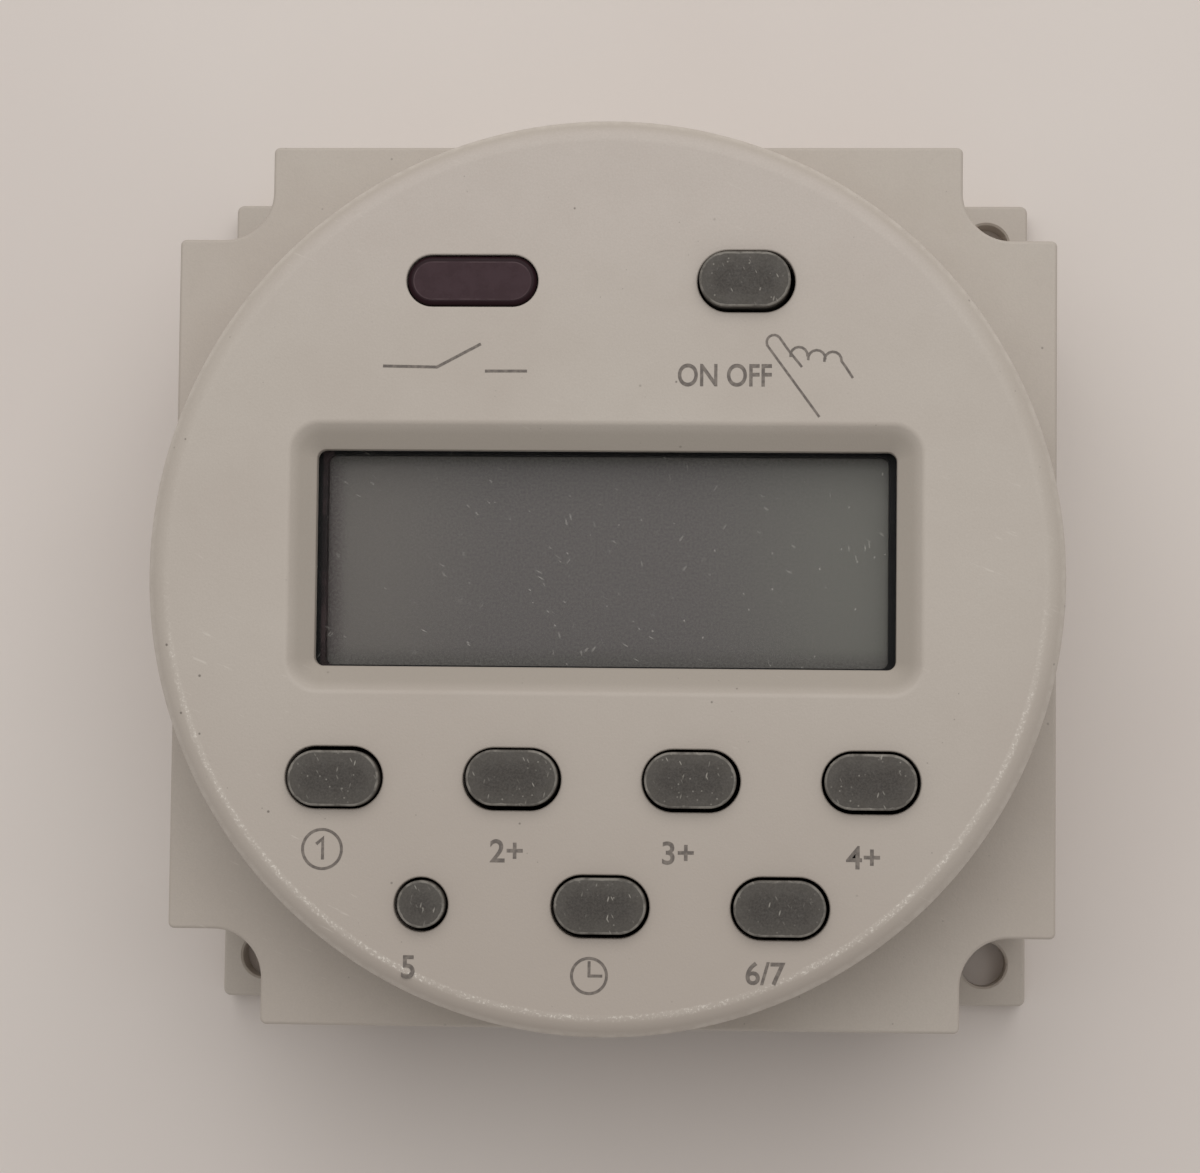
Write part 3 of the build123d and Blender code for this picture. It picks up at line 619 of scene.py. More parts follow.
# %% Modifiers and shading helpers
def apply_modifiers(piece):
    """Bakes the piece's modifiers into its mesh."""
    bpy.context.view_layer.update()
    graph = bpy.context.evaluated_depsgraph_get()
    mesh = bpy.data.meshes.new_from_object(piece.evaluated_get(graph))
    old = piece.data
    piece.modifiers.clear()
    piece.data = mesh
    bpy.data.meshes.remove(old)
    return piece


def carve(piece, tool, operation="DIFFERENCE"):
    """Takes tool away from piece, or joins them, and deletes the tool."""
    cut = piece.modifiers.new("carve", "BOOLEAN")
    cut.operation = operation
    cut.solver = "EXACT"
    cut.object = tool
    apply_modifiers(piece)
    bpy.data.objects.remove(tool)
    return piece


def smooth(piece, angle=32):
    """Smooth shading that keeps edges sharper than angle and flat faces."""
    for face in piece.data.polygons:
        face.use_smooth = True
    piece.data.set_sharp_from_angle(angle=radians(angle))
    weigh = piece.modifiers.new("weigh", "WEIGHTED_NORMAL")
    weigh.keep_sharp = True
    return apply_modifiers(piece)


def fit_out(piece, body, material, replaced=None):
    """Gives a finished mesh its material, the body it moves with and the solid it stands for."""
    piece.data.materials.clear()
    piece.data.materials.append(material)
    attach(piece, body)
    if replaced:
        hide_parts(replaced)
    return piece


print("helpers ready")

# %% [markdown]
# ## The cover
# The real cover is one moulding: a notched square flange with a hanging skirt, and a drum with a
# soft rim. Its window is sunk between four sloping sides. Bevels next to round holes tear easily,
# so each cutter has the round edge that it leaves in its own profile. One clean cut then makes both
# the hole and its soft edge.

# %% Sizes of the cover
FACE_RADIUS = 29.9
FACE_TOP = 32.0
PLATE_UNDER = 30.0
RIM_WIDTH = 1.5
RIM_SLOPE = 60.0
RIM_CORNER = 0.25
DRUM_INSIDE = 28.4
FLANGE_HALF = 30.0
FLANGE_TOP = 21.5
FLANGE_UNDER = 19.5
SEAM = 17.5
SKIRT = 1.8
NOTCH_WALL = 23.6
NOTCH_RADIUS = 3.3
TIP_RADIUS = 0.4
FLANGE_EDGE = 0.22
ROUND_STEPS = 192
WINDOW_Y = 1.1


def flange_outline(grow):
    """Notched square of the flange, moved outwards by grow; its notches keep their centres."""
    half = FLANGE_HALF + grow
    wall = NOTCH_WALL + grow
    tip = max(TIP_RADIUS + grow, 0.02)
    centre = NOTCH_WALL + NOTCH_RADIUS
    corner = arc((wall - tip, half - tip), tip, 90, 0, 5)
    corner += arc((centre, centre), NOTCH_RADIUS - grow, 180, 270, 16)
    corner += arc((half - tip, wall - tip), tip, 90, 0, 5)
    points = []
    for turn in (0, -90, -180, -270):
        c, s = round(cos(radians(turn))), round(sin(radians(turn)))
        points += [(x * c - y * s, x * s + y * c) for x, y in corner]
    return list(reversed(points))


def flange_plate():
    """Flange with its skirt, round at its upper edge."""
    profile = [(0, SEAM), *edge_round(FLANGE_EDGE, FLANGE_TOP)]
    plate = grown_stack("front_cover_shell", flange_outline, profile)
    hollow = [(-SKIRT, SEAM - 1), (-SKIRT, FLANGE_UNDER)]
    return carve(plate, grown_stack("hollow", flange_outline, hollow))


def rim_profile():
    """Reach and height of the rim: a small round at the wall, then a wide, slowly falling one."""
    steep = radians(RIM_SLOPE)
    radius = (RIM_WIDTH - RIM_CORNER * (1 - sin(steep))) / sin(steep)
    start = FACE_TOP - radius * (1 - cos(steep)) - RIM_CORNER * cos(steep)
    points = []
    for i in range(5):
        a = (pi / 2 - steep) * i / 4
        points.append((FACE_RADIUS - RIM_CORNER * (1 - cos(a)), start + RIM_CORNER * sin(a)))
    for i in range(1, 11):
        a = steep * (1 - i / 10)
        points.append((FACE_RADIUS - RIM_WIDTH + radius * sin(a), FACE_TOP - radius * (1 - cos(a))))
    return points


def drum_block():
    """Drum up to the face, with its round rim."""
    profile = [(FACE_RADIUS, FLANGE_TOP - 0.6), *rim_profile()]
    return grown_stack("drum", ring_outline((0, 0), 0, ROUND_STEPS), profile)


def drum_hollow():
    """Space inside the drum, down through the flange."""
    wall = circle(DRUM_INSIDE, ROUND_STEPS)
    return stack("drum_hollow", [(wall, FLANGE_UNDER - 1), (wall, PLATE_UNDER)])


cover = carve(flange_plate(), drum_block(), "UNION")
carve(cover, drum_hollow())
tell("cover before its openings", cover)

# %% Fixings on the inside of the cover
SCREW_PLACE = 19.7
BOARD_TOP = 24.0
BOARD_BOSSES = ((17.0, 15.6), (-17.0, 15.6), (17.6, -18.9), (-17.6, -18.9))
BOARD_BOSS = 1.7
BOARD_PILOT = 0.9
BOARD_PILOT_DEPTH = 4.4
CASE_BOSS_END = 12.0
CASE_BOSS = 2.8
CASE_PILOT = 1.1
WINDOW_RIB = (37.9, 0.9)
WINDOW_RIB_REACH = 9.0
HOOK_X = 14.0
HOOK_HALF = 2.25
HOOK_BACK = -27.05
HOOK_TIP = 11.5


def hook_profile():
    """Side view of a snap hook: distance from the middle and height."""
    back, front, catch, top = HOOK_BACK, HOOK_BACK + 1.2, HOOK_BACK - 0.7, FLANGE_UNDER + 0.2
    line = [(back, top), (back, HOOK_TIP + 2.3), (catch, HOOK_TIP + 1.6), (catch, HOOK_TIP + 1.25)]
    return [*line, (back, HOOK_TIP), (front, HOOK_TIP), (front, top)]


def add_boss(place, radius, low, high, pilot, pilot_top):
    """Round boss on the cover with a pilot hole for its screw."""
    carve(cover, round_block("boss", place, radius, low, high), "UNION")
    carve(cover, round_block("pilot", place, pilot, low - 1, pilot_top, 16))


def add_cover_fixings():
    """Screw bosses, ribs beside the window sheet and the two snap hooks."""
    top = BOARD_TOP + BOARD_PILOT_DEPTH
    for place in BOARD_BOSSES:
        add_boss(place, BOARD_BOSS, BOARD_TOP, PLATE_UNDER + 0.2, BOARD_PILOT, top)
    top = FLANGE_TOP - 2
    for side in (-1, 1):
        place = (side * SCREW_PLACE, SCREW_PLACE)
        add_boss(place, CASE_BOSS, CASE_BOSS_END, FLANGE_TOP - 0.05, CASE_PILOT, top)
        place = (0, WINDOW_Y + side * WINDOW_RIB_REACH)
        rib = box_block("rib", place, *WINDOW_RIB, PLATE_UNDER - 1, PLATE_UNDER + 0.2)
        carve(cover, rib, "UNION")
        ends = (side * HOOK_X - HOOK_HALF, side * HOOK_X + HOOK_HALF)
        hook = stack("hook", [(hook_profile(), end) for end in ends])
        hook.data.transform(Matrix(((0, 0, 1, 0), (1, 0, 0, 0), (0, 1, 0, 0), (0, 0, 0, 1))))
        carve(cover, hook, "UNION")


add_cover_fixings()
tell("cover with its fixings", cover)

# %% [markdown]
# ## Openings in the face
# The face has long key holes with half-round ends, one small round key hole and the indicator's
# hole, all with slightly broken edges. The window's sides slope in softly from the face, meet a
# thin rounded lip, and drop straight to the display.

# %% Key and indicator holes
KEY_LENGTH = 5.95
KEY_WIDTH = 3.62
ROUND_KEY = 3.08
KEY_GAP = 0.21
KEY_PITCH = 11.6
MAIN_ROW = -13.3
LOW_ROW = -21.45
TOP_ROW = 19.2
INDICATOR_X = -8.8
INDICATOR_SIZE = (8.64, 3.41)
HOLE_EDGE = 0.12

key_places = {
    "manual": (9.1, TOP_ROW),
    "program": (-1.5 * KEY_PITCH, MAIN_ROW),
    "day": (-0.5 * KEY_PITCH, MAIN_ROW),
    "hour": (0.5 * KEY_PITCH, MAIN_ROW),
    "minute": (1.5 * KEY_PITCH, MAIN_ROW),
    "clock": (0.0, LOW_ROW),
    "recall": (KEY_PITCH, LOW_ROW),
    "clear": (-KEY_PITCH, LOW_ROW),
}


def key_outline(name):
    """Outline of a key as a function of its growth."""
    length, width = (ROUND_KEY, ROUND_KEY) if name == "clear" else (KEY_LENGTH, KEY_WIDTH)
    return box_outline(key_places[name], length, width, width / 2, 12)


def hole_profile():
    """How far a cutter stands out at each height to leave a round upper edge."""
    flare = [(-inset, height) for inset, height in edge_round(HOLE_EDGE, FACE_TOP)]
    above = [(HOLE_EDGE + 0.3, FACE_TOP + SKIN), (HOLE_EDGE + 0.3, FACE_TOP + PAST)]
    return [(0.0, PLATE_UNDER - PAST), *flare, *above]


def cut_key_holes():
    """Cuts the eight key holes and the indicator's hole."""
    for name in key_places:
        profile = [(KEY_GAP + out, height) for out, height in hole_profile()]
        carve(cover, grown_stack("key_cutter", key_outline(name), profile))
    carve(cover, grown_stack("indicator_cutter", indicator_outline, hole_profile()))


indicator_end = INDICATOR_SIZE[1] / 2
indicator_outline = box_outline((INDICATOR_X, TOP_ROW), *INDICATOR_SIZE, indicator_end, 12)
cut_key_holes()
tell("cover with its holes", cover)

# %% Window opening
WINDOW_LENGTH = 37.95
WINDOW_HEIGHT = 14.2
WINDOW_RADIUS = 0.6
CORNER_SPREAD = 0.85
BEVEL_WIDTH = 1.9
BEVEL_DEPTH = 1.2
LIP_EDGE = 0.16
SHOULDER = 0.6


def window_profile():
    """Cutter's reach and height: up the opening's wall, over the lip, up the slope to the face."""
    slope = atan2(BEVEL_DEPTH, BEVEL_WIDTH - SHOULDER / 2)
    lip = FACE_TOP - BEVEL_DEPTH
    points = [(0.0, PLATE_UNDER - PAST), (0.0, lip - LIP_EDGE)]
    for i in range(1, 5):
        a = (pi / 2 - slope) * i / 4
        points.append((LIP_EDGE * (1 - cos(a)), lip - LIP_EDGE * (1 - sin(a))))
    # The shoulder is a round of constant radius between the slope and the flat face.
    for i in range(7):
        a = slope * (1 - i / 6)
        points.append((BEVEL_WIDTH - SHOULDER * sin(a), FACE_TOP - SHOULDER * (1 - cos(a))))
    return points + [(BEVEL_WIDTH + 0.4, FACE_TOP + SKIN), (BEVEL_WIDTH + 0.4, FACE_TOP + PAST)]


def window_outline(grow):
    """Outline of the window at a reach; its corners open up as it grows."""
    radius = WINDOW_RADIUS + CORNER_SPREAD * grow
    return rounded_box((0, WINDOW_Y), WINDOW_LENGTH, WINDOW_HEIGHT, radius - grow, grow, 14)


carve(cover, grown_stack("window_cutter", window_outline, window_profile()))
smooth(cover)
fit_out(cover, "case", cover_plastic, "front_cover")
tell("finished cover", cover)

# %% [markdown]
# ## Keys and indicator
# A key is a rubber cap with nearly straight sides, a small round edge and a hardly crowned top. A
# thin web round its foot joins it to the rubber mat. The indicator is a slip of dark red plastic,
# flush with the face, with a softer edge than its hole.

# %% Keys
KEY_TOP = 32.8
KEY_UNDER = 26.8
PLUNGER_UNDER = 25.3
PLUNGER_INSET = 0.5
KEY_EDGE = 0.12
KEY_CROWN = 0.05
CROWN_REACH = 1.38
EDGE_NICKS = 0.012
TOP_NICKS = 0.06
# Each rubber key has settled a little off the middle of its hole, as in the photograph.
KEY_SETTLE = {
    "manual": (-0.09, 0.05), "program": (0.03, -0.06), "day": (0.02, 0.08), "hour": (-0.04, 0.04),
    "minute": (-0.04, 0.04), "clock": (0.02, 0.05), "recall": (-0.02, 0.02), "clear": (0.05, 0.04),
}


def worn_outline(name, grow, wear=0.0):
    """Outline of a key with points all round it; wear says how deep its small nicks go."""
    corners = key_outline(name)(grow)
    seed = 7.3 * list(key_places).index(name)
    line = []
    for start, end in zip(corners, corners[1:] + corners[:1]):
        start, end = Vector(start), Vector(end)
        parts = 9 if (end - start).length > 1.0 else 1
        line += [start.lerp(end, k / parts) for k in range(parts)]
    worn = []
    for i, point in enumerate(line):
        way = (line[(i + 1) % len(line)] - line[i - 1]).normalized()
        nick = max(0.0, sin(1.7 * i + seed) * sin(0.61 * i + 2 * seed) - 0.45) / 0.55
        point = point + Vector((-way.y, way.x)) * wear * nick
        worn.append((point.x, point.y))
    return worn


def make_key(name):
    """Rubber key with its plunger, a slightly domed top and a little nicked edge."""
    foot = worn_outline(name, -PLUNGER_INSET)
    rings = [(foot, PLUNGER_UNDER), (foot, KEY_UNDER), (worn_outline(name, 0), KEY_UNDER)]
    low = KEY_TOP - KEY_CROWN
    for i, (out, height) in enumerate(edge_round(KEY_EDGE, low, 5)):
        rings.append((worn_outline(name, out, EDGE_NICKS * i), height, 0.9 if i == 0 else 1.0))
    for i in range(1, 9):
        share = i / 8
        inset = KEY_EDGE + 0.05 + share * (CROWN_REACH - KEY_EDGE)
        rise = KEY_CROWN * (1 - (1 - share) ** 2)
        wear = TOP_NICKS * (1 - share) ** 3
        rings.append((worn_outline(name, -inset, wear), low + rise, 0.9 * (1 - share)))
    key = smooth(stack("key_" + name + "_cap", rings), 50)
    dx, dy = KEY_SETTLE[name]
    key.data.transform(Matrix.Translation((dx * MM, dy * MM, 0)))
    return fit_out(key, name + "_key", rubber, "key_" + name)


print("keys:", len([make_key(name) for name in key_places]))

# %% Webs under the keys
MAT_TOP = 25.2
WEB_FOOT = 0.85
WEB_THICKNESS = 0.35
WEB_LEAN = 0.95


def make_web(name):
    """Thin rubber cone that springs a key back."""
    height = KEY_UNDER - MAT_TOP

    def cone(grow, past):
        """Cone of that outline at its foot, drawn out past both its ends."""
        lean = WEB_LEAN * past / height
        ends = (grow + lean, MAT_TOP - past), (grow - WEB_LEAN - lean, KEY_UNDER + past)
        return grown_stack("web_" + name + "_cone", key_outline(name), ends)

    web = carve(cone(WEB_FOOT, 0), cone(WEB_FOOT - WEB_THICKNESS, 0.2))
    fit_out(smooth(web), "case", rubber, "web_" + name)
    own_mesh(web)
    return web


print("webs:", len([make_web(name) for name in key_places]))

# %% Indicator window
INDICATOR_CLEARANCE = 0.08
INDICATOR_EDGE = 0.3
INDICATOR_FLANGE = 0.9
INDICATOR_UNDER = 29.2
MIDDLE_START = 0.18


def make_indicator():
    """Red indicator window with its flange under the face."""
    side = -INDICATOR_CLEARANCE
    profile = [(INDICATOR_FLANGE, INDICATOR_UNDER, 1), (INDICATOR_FLANGE, PLATE_UNDER, 1)]
    profile.append((side, PLATE_UNDER, 1))
    for inset, height in edge_round(INDICATOR_EDGE, FACE_TOP, 5):
        profile.append((side + inset, height, 1))
    profile.append((side - INDICATOR_EDGE - MIDDLE_START, FACE_TOP, 0))
    lens = smooth(grown_stack("indicator_slip", indicator_outline, profile), 40)
    return fit_out(lens, "case", red_plastic, "indicator_lens")


tell("indicator", make_indicator())

# %% [markdown]
# ## The rear housing
# The housing is a box under the flange with four screw ears. Its rear has the hollow for the
# blades, the channel for the wires, two deep wells with the case screws, and small sunk numbers.
# The photograph doesn't show this side, so it follows what timers of this build have there.

# %% Sizes of the housing
REAR_INSET = 0.8
REAR_EDGE = 0.3
SEAM_EDGE = 0.12
INSIDE_INSET = 2.8
FLOOR = 2.0
LIP_INSET = 1.9
LIP_TOP = 19.1
EAR_PLATE = 58.4
EAR_THICKNESS = 2.8
EAR_EDGE = 0.2
EAR_HOLE = 1.65
EAR_HOLE_EDGE = 0.15
EAR_PLACE = 26.2
TROUGH = (46.8, 12.0)
TROUGH_Y = -13.0
TROUGH_DEPTH = 16.0
BOARD_UNDER = 17.6
CHANNEL = (35.0, 13.0)
CHANNEL_Y = -25.4
CHANNEL_DEPTH = 6.0
CHANNEL_WALLS_WIDTH = 12.0
CHANNEL_WALLS_Y = -25.0
RECESS_WALL = 1.6
RIB_X = (-14.4, -4.8, 4.8, 14.4)
RIB_SIZE = (1.2, 12.2)
BLADE_X = (-19.2, -9.6, 0.0, 9.6, 19.2)
SLOT_SIZE = (6.5, 1.0)
WELL_RADIUS = 2.6
WELL_WALL = 4.1
SCREW_BORE = 1.45
SCREW_SEAT = 6.0
POST_PLACE = (13.0, 22.0)
POST_RADIUS = 2.0
MOUTH_EDGE = 0.25


def housing_box():
    """Box with its ears, its hollow and the lip that stands inside the cover's skirt."""
    profile = [(out - REAR_INSET, height) for out, height in foot_round(REAR_EDGE, REAR_EDGE)]
    profile += [(-REAR_INSET, SEAM - SEAM_EDGE), (-REAR_INSET - SEAM_EDGE, SEAM)]
    profile += [(-LIP_INSET, SEAM), (-LIP_INSET, LIP_TOP)]
    box = grown_stack("rear_housing_shell", flange_outline, profile)
    ears = foot_round(EAR_EDGE, 0.0) + edge_round(EAR_EDGE, EAR_THICKNESS, 3)
    plate = box_outline((0, 0), EAR_PLATE, EAR_PLATE, 0.5, 5)
    carve(box, grown_stack("ears", plate, ears), "UNION")
    hollow = [(-INSIDE_INSET, FLOOR), (-INSIDE_INSET, LIP_TOP + 1)]
    hollow = grown_stack("hollow", flange_outline, hollow)
    length, width = (side + 2 * RECESS_WALL for side in TROUGH)
    carve(hollow, box_block("trough_walls", (0, TROUGH_Y), length, width, 1.0, BOARD_UNDER))
    walls = (CHANNEL[0] + 2 * RECESS_WALL, CHANNEL_WALLS_WIDTH)
    top = CHANNEL_DEPTH + RECESS_WALL
    carve(hollow, box_block("channel_walls", (0, CHANNEL_WALLS_Y), *walls, 1.0, top))
    return carve(box, hollow)


housing = housing_box()
tell("housing box", housing)

# %% Openings of the housing
def cut_mouth(name, outline, depth):
    """Cuts a hole into the rear, with its mouth broken by a round edge."""
    profile = [(MOUTH_EDGE + 0.3, -PAST), (MOUTH_EDGE + 0.3, -SKIN)]
    profile += [(-inset, height) for inset, height in foot_round(MOUTH_EDGE, 0)]
    carve(housing, grown_stack(name, outline, [*profile, (0, depth)]))


def open_housing():
    """Cuts the blades' hollow, the wire channel, the wells and the ear holes."""
    cut_mouth("trough", box_outline((0, TROUGH_Y), *TROUGH, 0.3), TROUGH_DEPTH)
    cut_mouth("channel", box_outline((0, CHANNEL_Y), *CHANNEL, 0.3), CHANNEL_DEPTH)
    for x in RIB_X:
        rib = box_block("rib", (x, TROUGH_Y), *RIB_SIZE, 6.0, TROUGH_DEPTH + 0.2, 0.2)
        carve(housing, rib, "UNION")
    for x in BLADE_X:
        slot = (*SLOT_SIZE, TROUGH_DEPTH - PAST, BOARD_UNDER + PAST)
        carve(housing, box_block("slot", (x, TROUGH_Y), *slot))
    for side in (-1, 1):
        place = (side * SCREW_PLACE, SCREW_PLACE)
        wall = round_block("boss", place, WELL_WALL, 1.0, CASE_BOSS_END - 0.1)
        carve(housing, wall, "UNION")
        cut_mouth("well", ring_outline(place, WELL_RADIUS), SCREW_SEAT)
        bore = (SCREW_BORE, SCREW_SEAT - 1, CASE_BOSS_END + 1, 24)
        carve(housing, round_block("bore", place, *bore))
        place = (side * POST_PLACE[0], POST_PLACE[1])
        carve(housing, round_block("post", place, POST_RADIUS, 1.0, BOARD_UNDER, 24), "UNION")
    edge, top = EAR_HOLE_EDGE, EAR_THICKNESS
    profile = [(0.5, -PAST), (0.5, -SKIN), (edge, 0), (0, edge)]
    profile += [(0, top - edge), (edge, top), (0.5, top + SKIN), (0.5, top + PAST)]
    for x in (-EAR_PLACE, EAR_PLACE):
        for y in (-EAR_PLACE, EAR_PLACE):
            carve(housing, grown_stack("ear_hole", ring_outline((x, y), EAR_HOLE), profile))


open_housing()
tell("housing with its openings", housing)

# %% Sunk numbers and mould marks
DIGIT_Y = -3.9
DIGIT_TALL = 2.4
DIGIT_THICK = 0.5
PIN_PLACES = ((-23.0, 5.0), (23.0, 5.0), (-9.0, 24.0), (9.0, 24.0), (0.0, 9.0))
PIN_RADIUS = 1.9
PIN_DEPTH = 0.08


def word_mesh(name, words, centre, tall, thick, wide=None, bold=0.0):
    """Closed mesh of plain words or numbers of that height in millimetres, centred on a point."""
    curve = bpy.data.curves.new(name, "FONT")
    curve.body = words
    curve.size = 0.01
    curve.extrude = 0.001
    curve.offset = bold
    text = placed(name, curve)
    bpy.context.view_layer.update()
    graph = bpy.context.evaluated_depsgraph_get()
    mesh = bpy.data.meshes.new_from_object(text.evaluated_get(graph))
    bpy.data.objects.remove(text)
    low, high = ([end(v.co[i] for v in mesh.vertices) for i in range(3)] for end in (min, max))
    scale = [0, tall * MM / (high[1] - low[1]), thick * MM / (high[2] - low[2])]
    scale[0] = wide * MM / (high[0] - low[0]) if wide else scale[1]
    for v in mesh.vertices:
        for i in range(3):
            v.co[i] = (v.co[i] - (low[i] + high[i]) / 2) * scale[i] + centre[i] * MM
    joined = bmesh.new()
    joined.from_mesh(mesh)
    bmesh.ops.remove_doubles(joined, verts=joined.verts, dist=0.000001)
    bmesh.ops.recalc_face_normals(joined, faces=joined.faces)
    joined.to_mesh(mesh)
    joined.free()
    return placed(name, mesh)


def mark_rear():
    """Numbers sunk beside the blades, and the round marks of the ejector pins."""
    for number, x in enumerate(BLADE_X):
        digit = word_mesh("digit", str(number + 1), (0, 0, 0), DIGIT_TALL, DIGIT_THICK)
        turn = Matrix.Translation((x * MM, DIGIT_Y * MM, 0)) @ Matrix.Rotation(pi, 4, "Y")
        digit.data.transform(turn)
        carve(housing, digit)
    for place in PIN_PLACES:
        profile = [(0.1, -PAST), (0.1, -SKIN), (0, PIN_DEPTH)]
        carve(housing, grown_stack("pin_mark", ring_outline(place, PIN_RADIUS, 48), profile))


mark_rear()
smooth(housing)
fit_out(housing, "case", housing_plastic, "rear_housing")
tell("finished housing", housing)

# %% Case screws
HEAD_RADIUS = 2.3
HEAD_PROFILE = ((0.9, 0.0), (1.5, 0.06), (1.95, 0.24), (2.2, 0.5), (HEAD_RADIUS, 0.85))
HEAD_UNDER = 4.3
SHANK_RADIUS = 0.9
SCREW_END = 18.5
CROSS = (2.3, 0.5)
CROSS_DEPTH = 0.95


def make_case_screws():
    """Two pan-head screws with cross recesses, deep in their wells."""
    for side, word in ((-1, "left"), (1, "right")):
        place = (side * SCREW_PLACE, SCREW_PLACE)
        profile = [(radius, HEAD_UNDER + up) for radius, up in HEAD_PROFILE]
        profile.append((HEAD_RADIUS, SCREW_SEAT))
        profile += [(SHANK_RADIUS, height) for height in (SCREW_SEAT, SCREW_END)]
        screw = grown_stack("case_screw_" + word, ring_outline(place, 0), profile)
        cut = [(0.02, HEAD_UNDER - PAST), (-0.14, HEAD_UNDER + CROSS_DEPTH)]
        for size in (CROSS, CROSS[::-1]):
            carve(screw, grown_stack("cross", box_outline(place, *size, 0.05), cut))
        fit_out(smooth(screw), "case", inside_finishes["screw_steel"], "housing_screws")
        tell(screw.name, screw)


make_case_screws()

# %% Blades
BLADE_OUTLINE = [
    (3.15, 16.8), (3.8, 16.8), (3.8, 17.6), (0.7, 17.6), (0.7, 20.2), (-0.7, 20.2), (-0.7, 17.6),
    (-3.8, 17.6), (-3.8, 16.8), (-3.15, 16.8), (-3.15, 7.2), (-1.95, 6.0), (1.95, 6.0), (3.15, 7.2),
]
BLADE_HALF = 0.4
COINED_EDGE = 0.12
LOCK_PLACE = (0, 9.4)
LOCK_RADIUS = 0.8


def make_blades():
    """Five tinned blades with coined edges, a pointed tip and a round locking hole."""
    stand = Matrix(((1, 0, 0, 0), (0, 0, -1, 0), (0, 1, 0, 0), (0, 0, 0, 1)))
    for number, x in enumerate(BLADE_X):
        sides = [(BLADE_OUTLINE, -BLADE_HALF), (BLADE_OUTLINE, BLADE_HALF)]
        blade = stack("blade_%d" % (number + 1), sides)
        made = bmesh.new()
        made.from_mesh(blade.data)
        rim = [e for e in made.edges if abs(e.verts[0].co.z - e.verts[1].co.z) < 1e-7]
        round_off = {"offset": COINED_EDGE * MM, "segments": 2, "affect": "EDGES", "profile": 0.6}
        bmesh.ops.bevel(made, geom=rim, **round_off)
        made.to_mesh(blade.data)
        made.free()
        carve(blade, round_block("lock", LOCK_PLACE, LOCK_RADIUS, -1, 1, 28))
        blade.data.transform(Matrix.Translation((x * MM, TROUGH_Y * MM, 0)) @ stand)
        fit_out(smooth(blade), "case", inside_finishes["terminal_metal"], "terminal_blades")
        tell(blade.name, blade)


make_blades()

# %% [markdown]
# ## Printed marks
# The print is a thin brownish grey. Its marks are generic: plain numbers at the keys, ON and OFF
# with a pointing finger at the upper key, an open contact at the indicator and a small clock face.
# Each is a thin closed piece set into the face, so it also shows in the exported model.

# %% Ink
INK = Finish("print ink", (112, 104, 97), 0.55)
INK.colour = linear((100, 92, 86))
INK.coat(INK.patches(0.3, 0.35, 0.7), (126, 117, 109))
INK_LINE = 0.19
INK_HEIGHT = 0.012
INK_SUNK = 0.02
TEXT_DEPTH = 0.004
TEXT_THICK = 0.032
TEXT_BOLD = 0.00016


def ink_piece(name, mesh, lift=0.0):
    """Turns flat ink faces into a thin closed piece that lies on the face."""
    bmesh.ops.recalc_face_normals(mesh, faces=mesh.faces)
    grown = bmesh.ops.extrude_face_region(mesh, geom=mesh.faces[:])["geom"]
    for point in (g for g in grown if isinstance(g, bmesh.types.BMVert)):
        point.co.z = (FACE_TOP + INK_HEIGHT + lift) * MM
    bmesh.ops.recalc_face_normals(mesh, faces=mesh.faces)
    return fit_out(meshed(name, mesh), "case", INK.material)


def strip_side(points, i, closed, width):
    """The two edge points of a printed line at its point number i."""
    x, y = points[i]
    ways = []
    if i or closed:
        ways.append((Vector((x, y)) - Vector(points[i - 1])).normalized())
    if i < len(points) - 1 or closed:
        ways.append((Vector(points[(i + 1) % len(points)]) - Vector((x, y))).normalized())
    way = sum(ways, Vector((0, 0))).normalized()
    side = Vector((-way.y, way.x)) * (width / 2 / max(way.dot(ways[0]), 0.5))
    return (x + side.x, y + side.y), (x - side.x, y - side.y)


def ink_strip(name, points, width=INK_LINE, closed=False, lift=0.0):
    """Printed line through points, drawn as a strip with mitred joints."""
    mesh = bmesh.new()
    level = (FACE_TOP - INK_SUNK) * MM
    pairs = [strip_side(points, i, closed, width) for i in range(len(points))]
    sides = [[mesh.verts.new((x * MM, y * MM, level)) for x, y in pair] for pair in pairs]
    for i in range(len(points) if closed else len(points) - 1):
        (a, b), (c, d) = sides[i], sides[(i + 1) % len(points)]
        mesh.faces.new((a, b, d, c))
    return ink_piece(name, mesh, lift)


def ink_ring(name, centre, radius):
    """Printed circle."""
    return ink_strip(name, circle(radius, 48, centre), closed=True)


def ink_text(name, words, centre, height, width=None):
    """Plain printed words or numbers of that height, centred on a point."""
    place = (*centre, FACE_TOP - TEXT_DEPTH)
    piece = word_mesh(name, words, place, height, TEXT_THICK, width, TEXT_BOLD)
    return fit_out(piece, "case", INK.material)


def finger_line():
    """Plain outline of a pointing finger: along it, round its tip and back."""
    tip = arc((10.92, 15.22), 0.47, 215, 40, 8)
    return [(13.9, 10.35), (10.53, 14.95), *tip, (11.9, 14.65), (12.75, 13.6)]


def knuckle_lines():
    """Three knuckles beside the finger; the last runs down the side of the hand."""
    places = ((12.55, 14.35), (13.7, 14.15), (14.75, 14.05))
    arches = [arc(place, 0.56, 190, -5, 8) for place in places]
    arches[-1] += [(15.6, 13.6), (16.05, 12.9)]
    return arches


print("ink line:", INK_LINE, "mm")

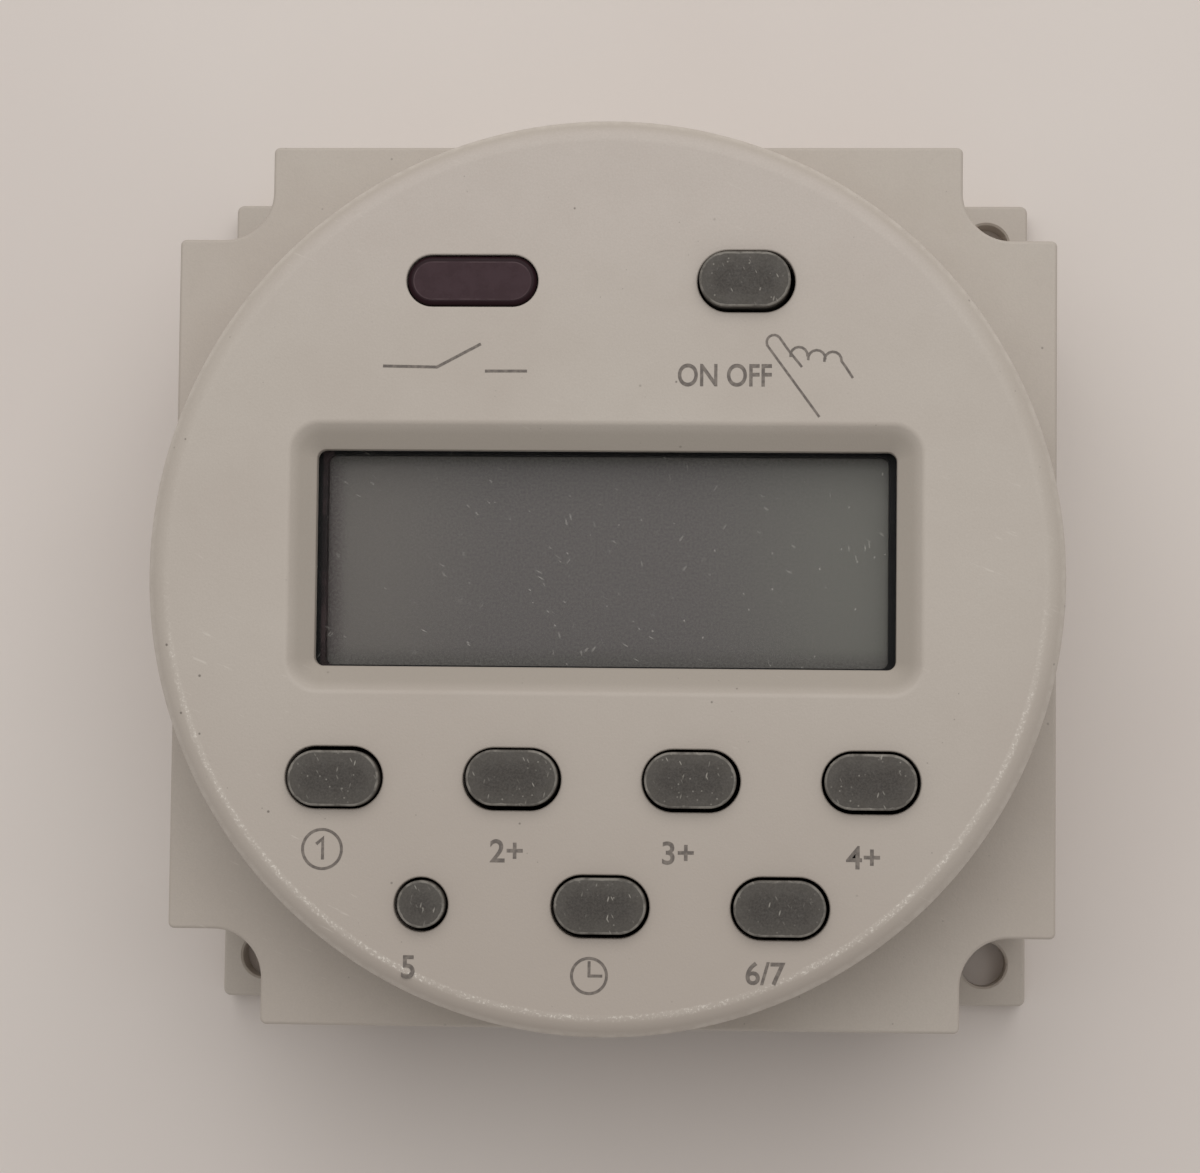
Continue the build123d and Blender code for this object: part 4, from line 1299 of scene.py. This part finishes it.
# %% Marks on the face
LETTER = 1.5
FINGER_LINE = 0.16
KNUCKLE_LIFT = 0.002
ink_strip("contact_left", [(-14.58, 13.57), (-11.04, 13.51), (-8.18, 15.04)])
ink_strip("contact_right", [(-7.89, 13.26), (-5.14, 13.27)])
ink_text("on_off_mark", "ON OFF", (7.75, 13.05), LETTER, 6.1)
ink_strip("finger_mark", finger_line(), FINGER_LINE)
for number, line in enumerate(knuckle_lines(), 1):
    ink_strip("knuckle_%d" % number, line, FINGER_LINE, lift=KNUCKLE_LIFT * number)
ink_ring("program_ring", (-18.09, -17.95), 1.27)
ink_strip("program_number", [(-18.47, -17.63), (-18.05, -17.27), (-18.05, -18.63)], 0.2)
ink_text("day_number", "2+", (-6.1, -17.93), LETTER)
ink_text("hour_number", "3+", (5.0, -17.95), LETTER)
ink_text("minute_number", "4+", (16.9, -18.1), LETTER)
ink_text("clear_number", "5", (-12.38, -25.48), LETTER)
ink_ring("clock_ring", (-0.66, -25.9), 1.13)
ink_strip("clock_hands", [(-0.66, -24.95), (-0.66, -25.9), (0.2, -25.9)])
ink_text("recall_number", "6/7", (10.7, -25.6), LETTER)
print("marks drawn")

# %% [markdown]
# ## Table and light
# The timer lies on a pale table in broad, soft light from above its upper side, so the shade falls
# towards the lower edge. One large area lamp gives that direction and the world fills the rest.
# Their strengths are set so that a colour renders about as it is written.

# %% Table
TABLE_COLOUR = (224, 216, 210)
TABLE_SHADE = (220, 211, 205)
TABLE_HALF = 1.5


def make_table():
    """Pale matt table that the timer lies on."""
    made = Finish("table", TABLE_COLOUR, 0.6)
    made.coat(made.patches(60, 0.3, 0.7), TABLE_SHADE)
    made.grain(0.6, 0.004)
    mesh = bmesh.new()
    bmesh.ops.create_grid(mesh, x_segments=8, y_segments=8, size=TABLE_HALF)
    table = meshed("table", mesh)
    table.data.materials.append(made.material)
    return table


table = make_table()
print("table:", [round(v, 2) for v in table.dimensions])

# %% Light
LAMP_PLACE = (0.018, 0.22, 0.4)
LAMP_SIZE = 0.52
LAMP_POWER = 1.26
LAMP_COLOUR = (1.0, 0.985, 0.97)
FILL = 0.43
FILL_COLOUR = (1.0, 0.985, 0.965, 1.0)


def make_light():
    """Large soft lamp above the upper side, and a plain world."""
    data = bpy.data.lights.new("soft_lamp", "AREA")
    data.shape = "SQUARE"
    data.size = LAMP_SIZE
    data.energy = LAMP_POWER
    data.color = LAMP_COLOUR
    lamp = placed("soft_lamp", data)
    lamp.location = LAMP_PLACE
    lamp.rotation_euler = (-Vector(LAMP_PLACE)).to_track_quat("-Z", "Y").to_euler()
    world = bpy.data.worlds.new("plain_world")
    world.use_nodes = True
    back = world.node_tree.nodes["Background"]
    back.inputs["Color"].default_value = FILL_COLOUR
    back.inputs["Strength"].default_value = FILL
    bpy.context.scene.world = world
    return lamp


lamp = make_light()
print("lamp:", lamp.data.energy, "W at", [round(v, 2) for v in lamp.location])

# %% End
print("scene built")
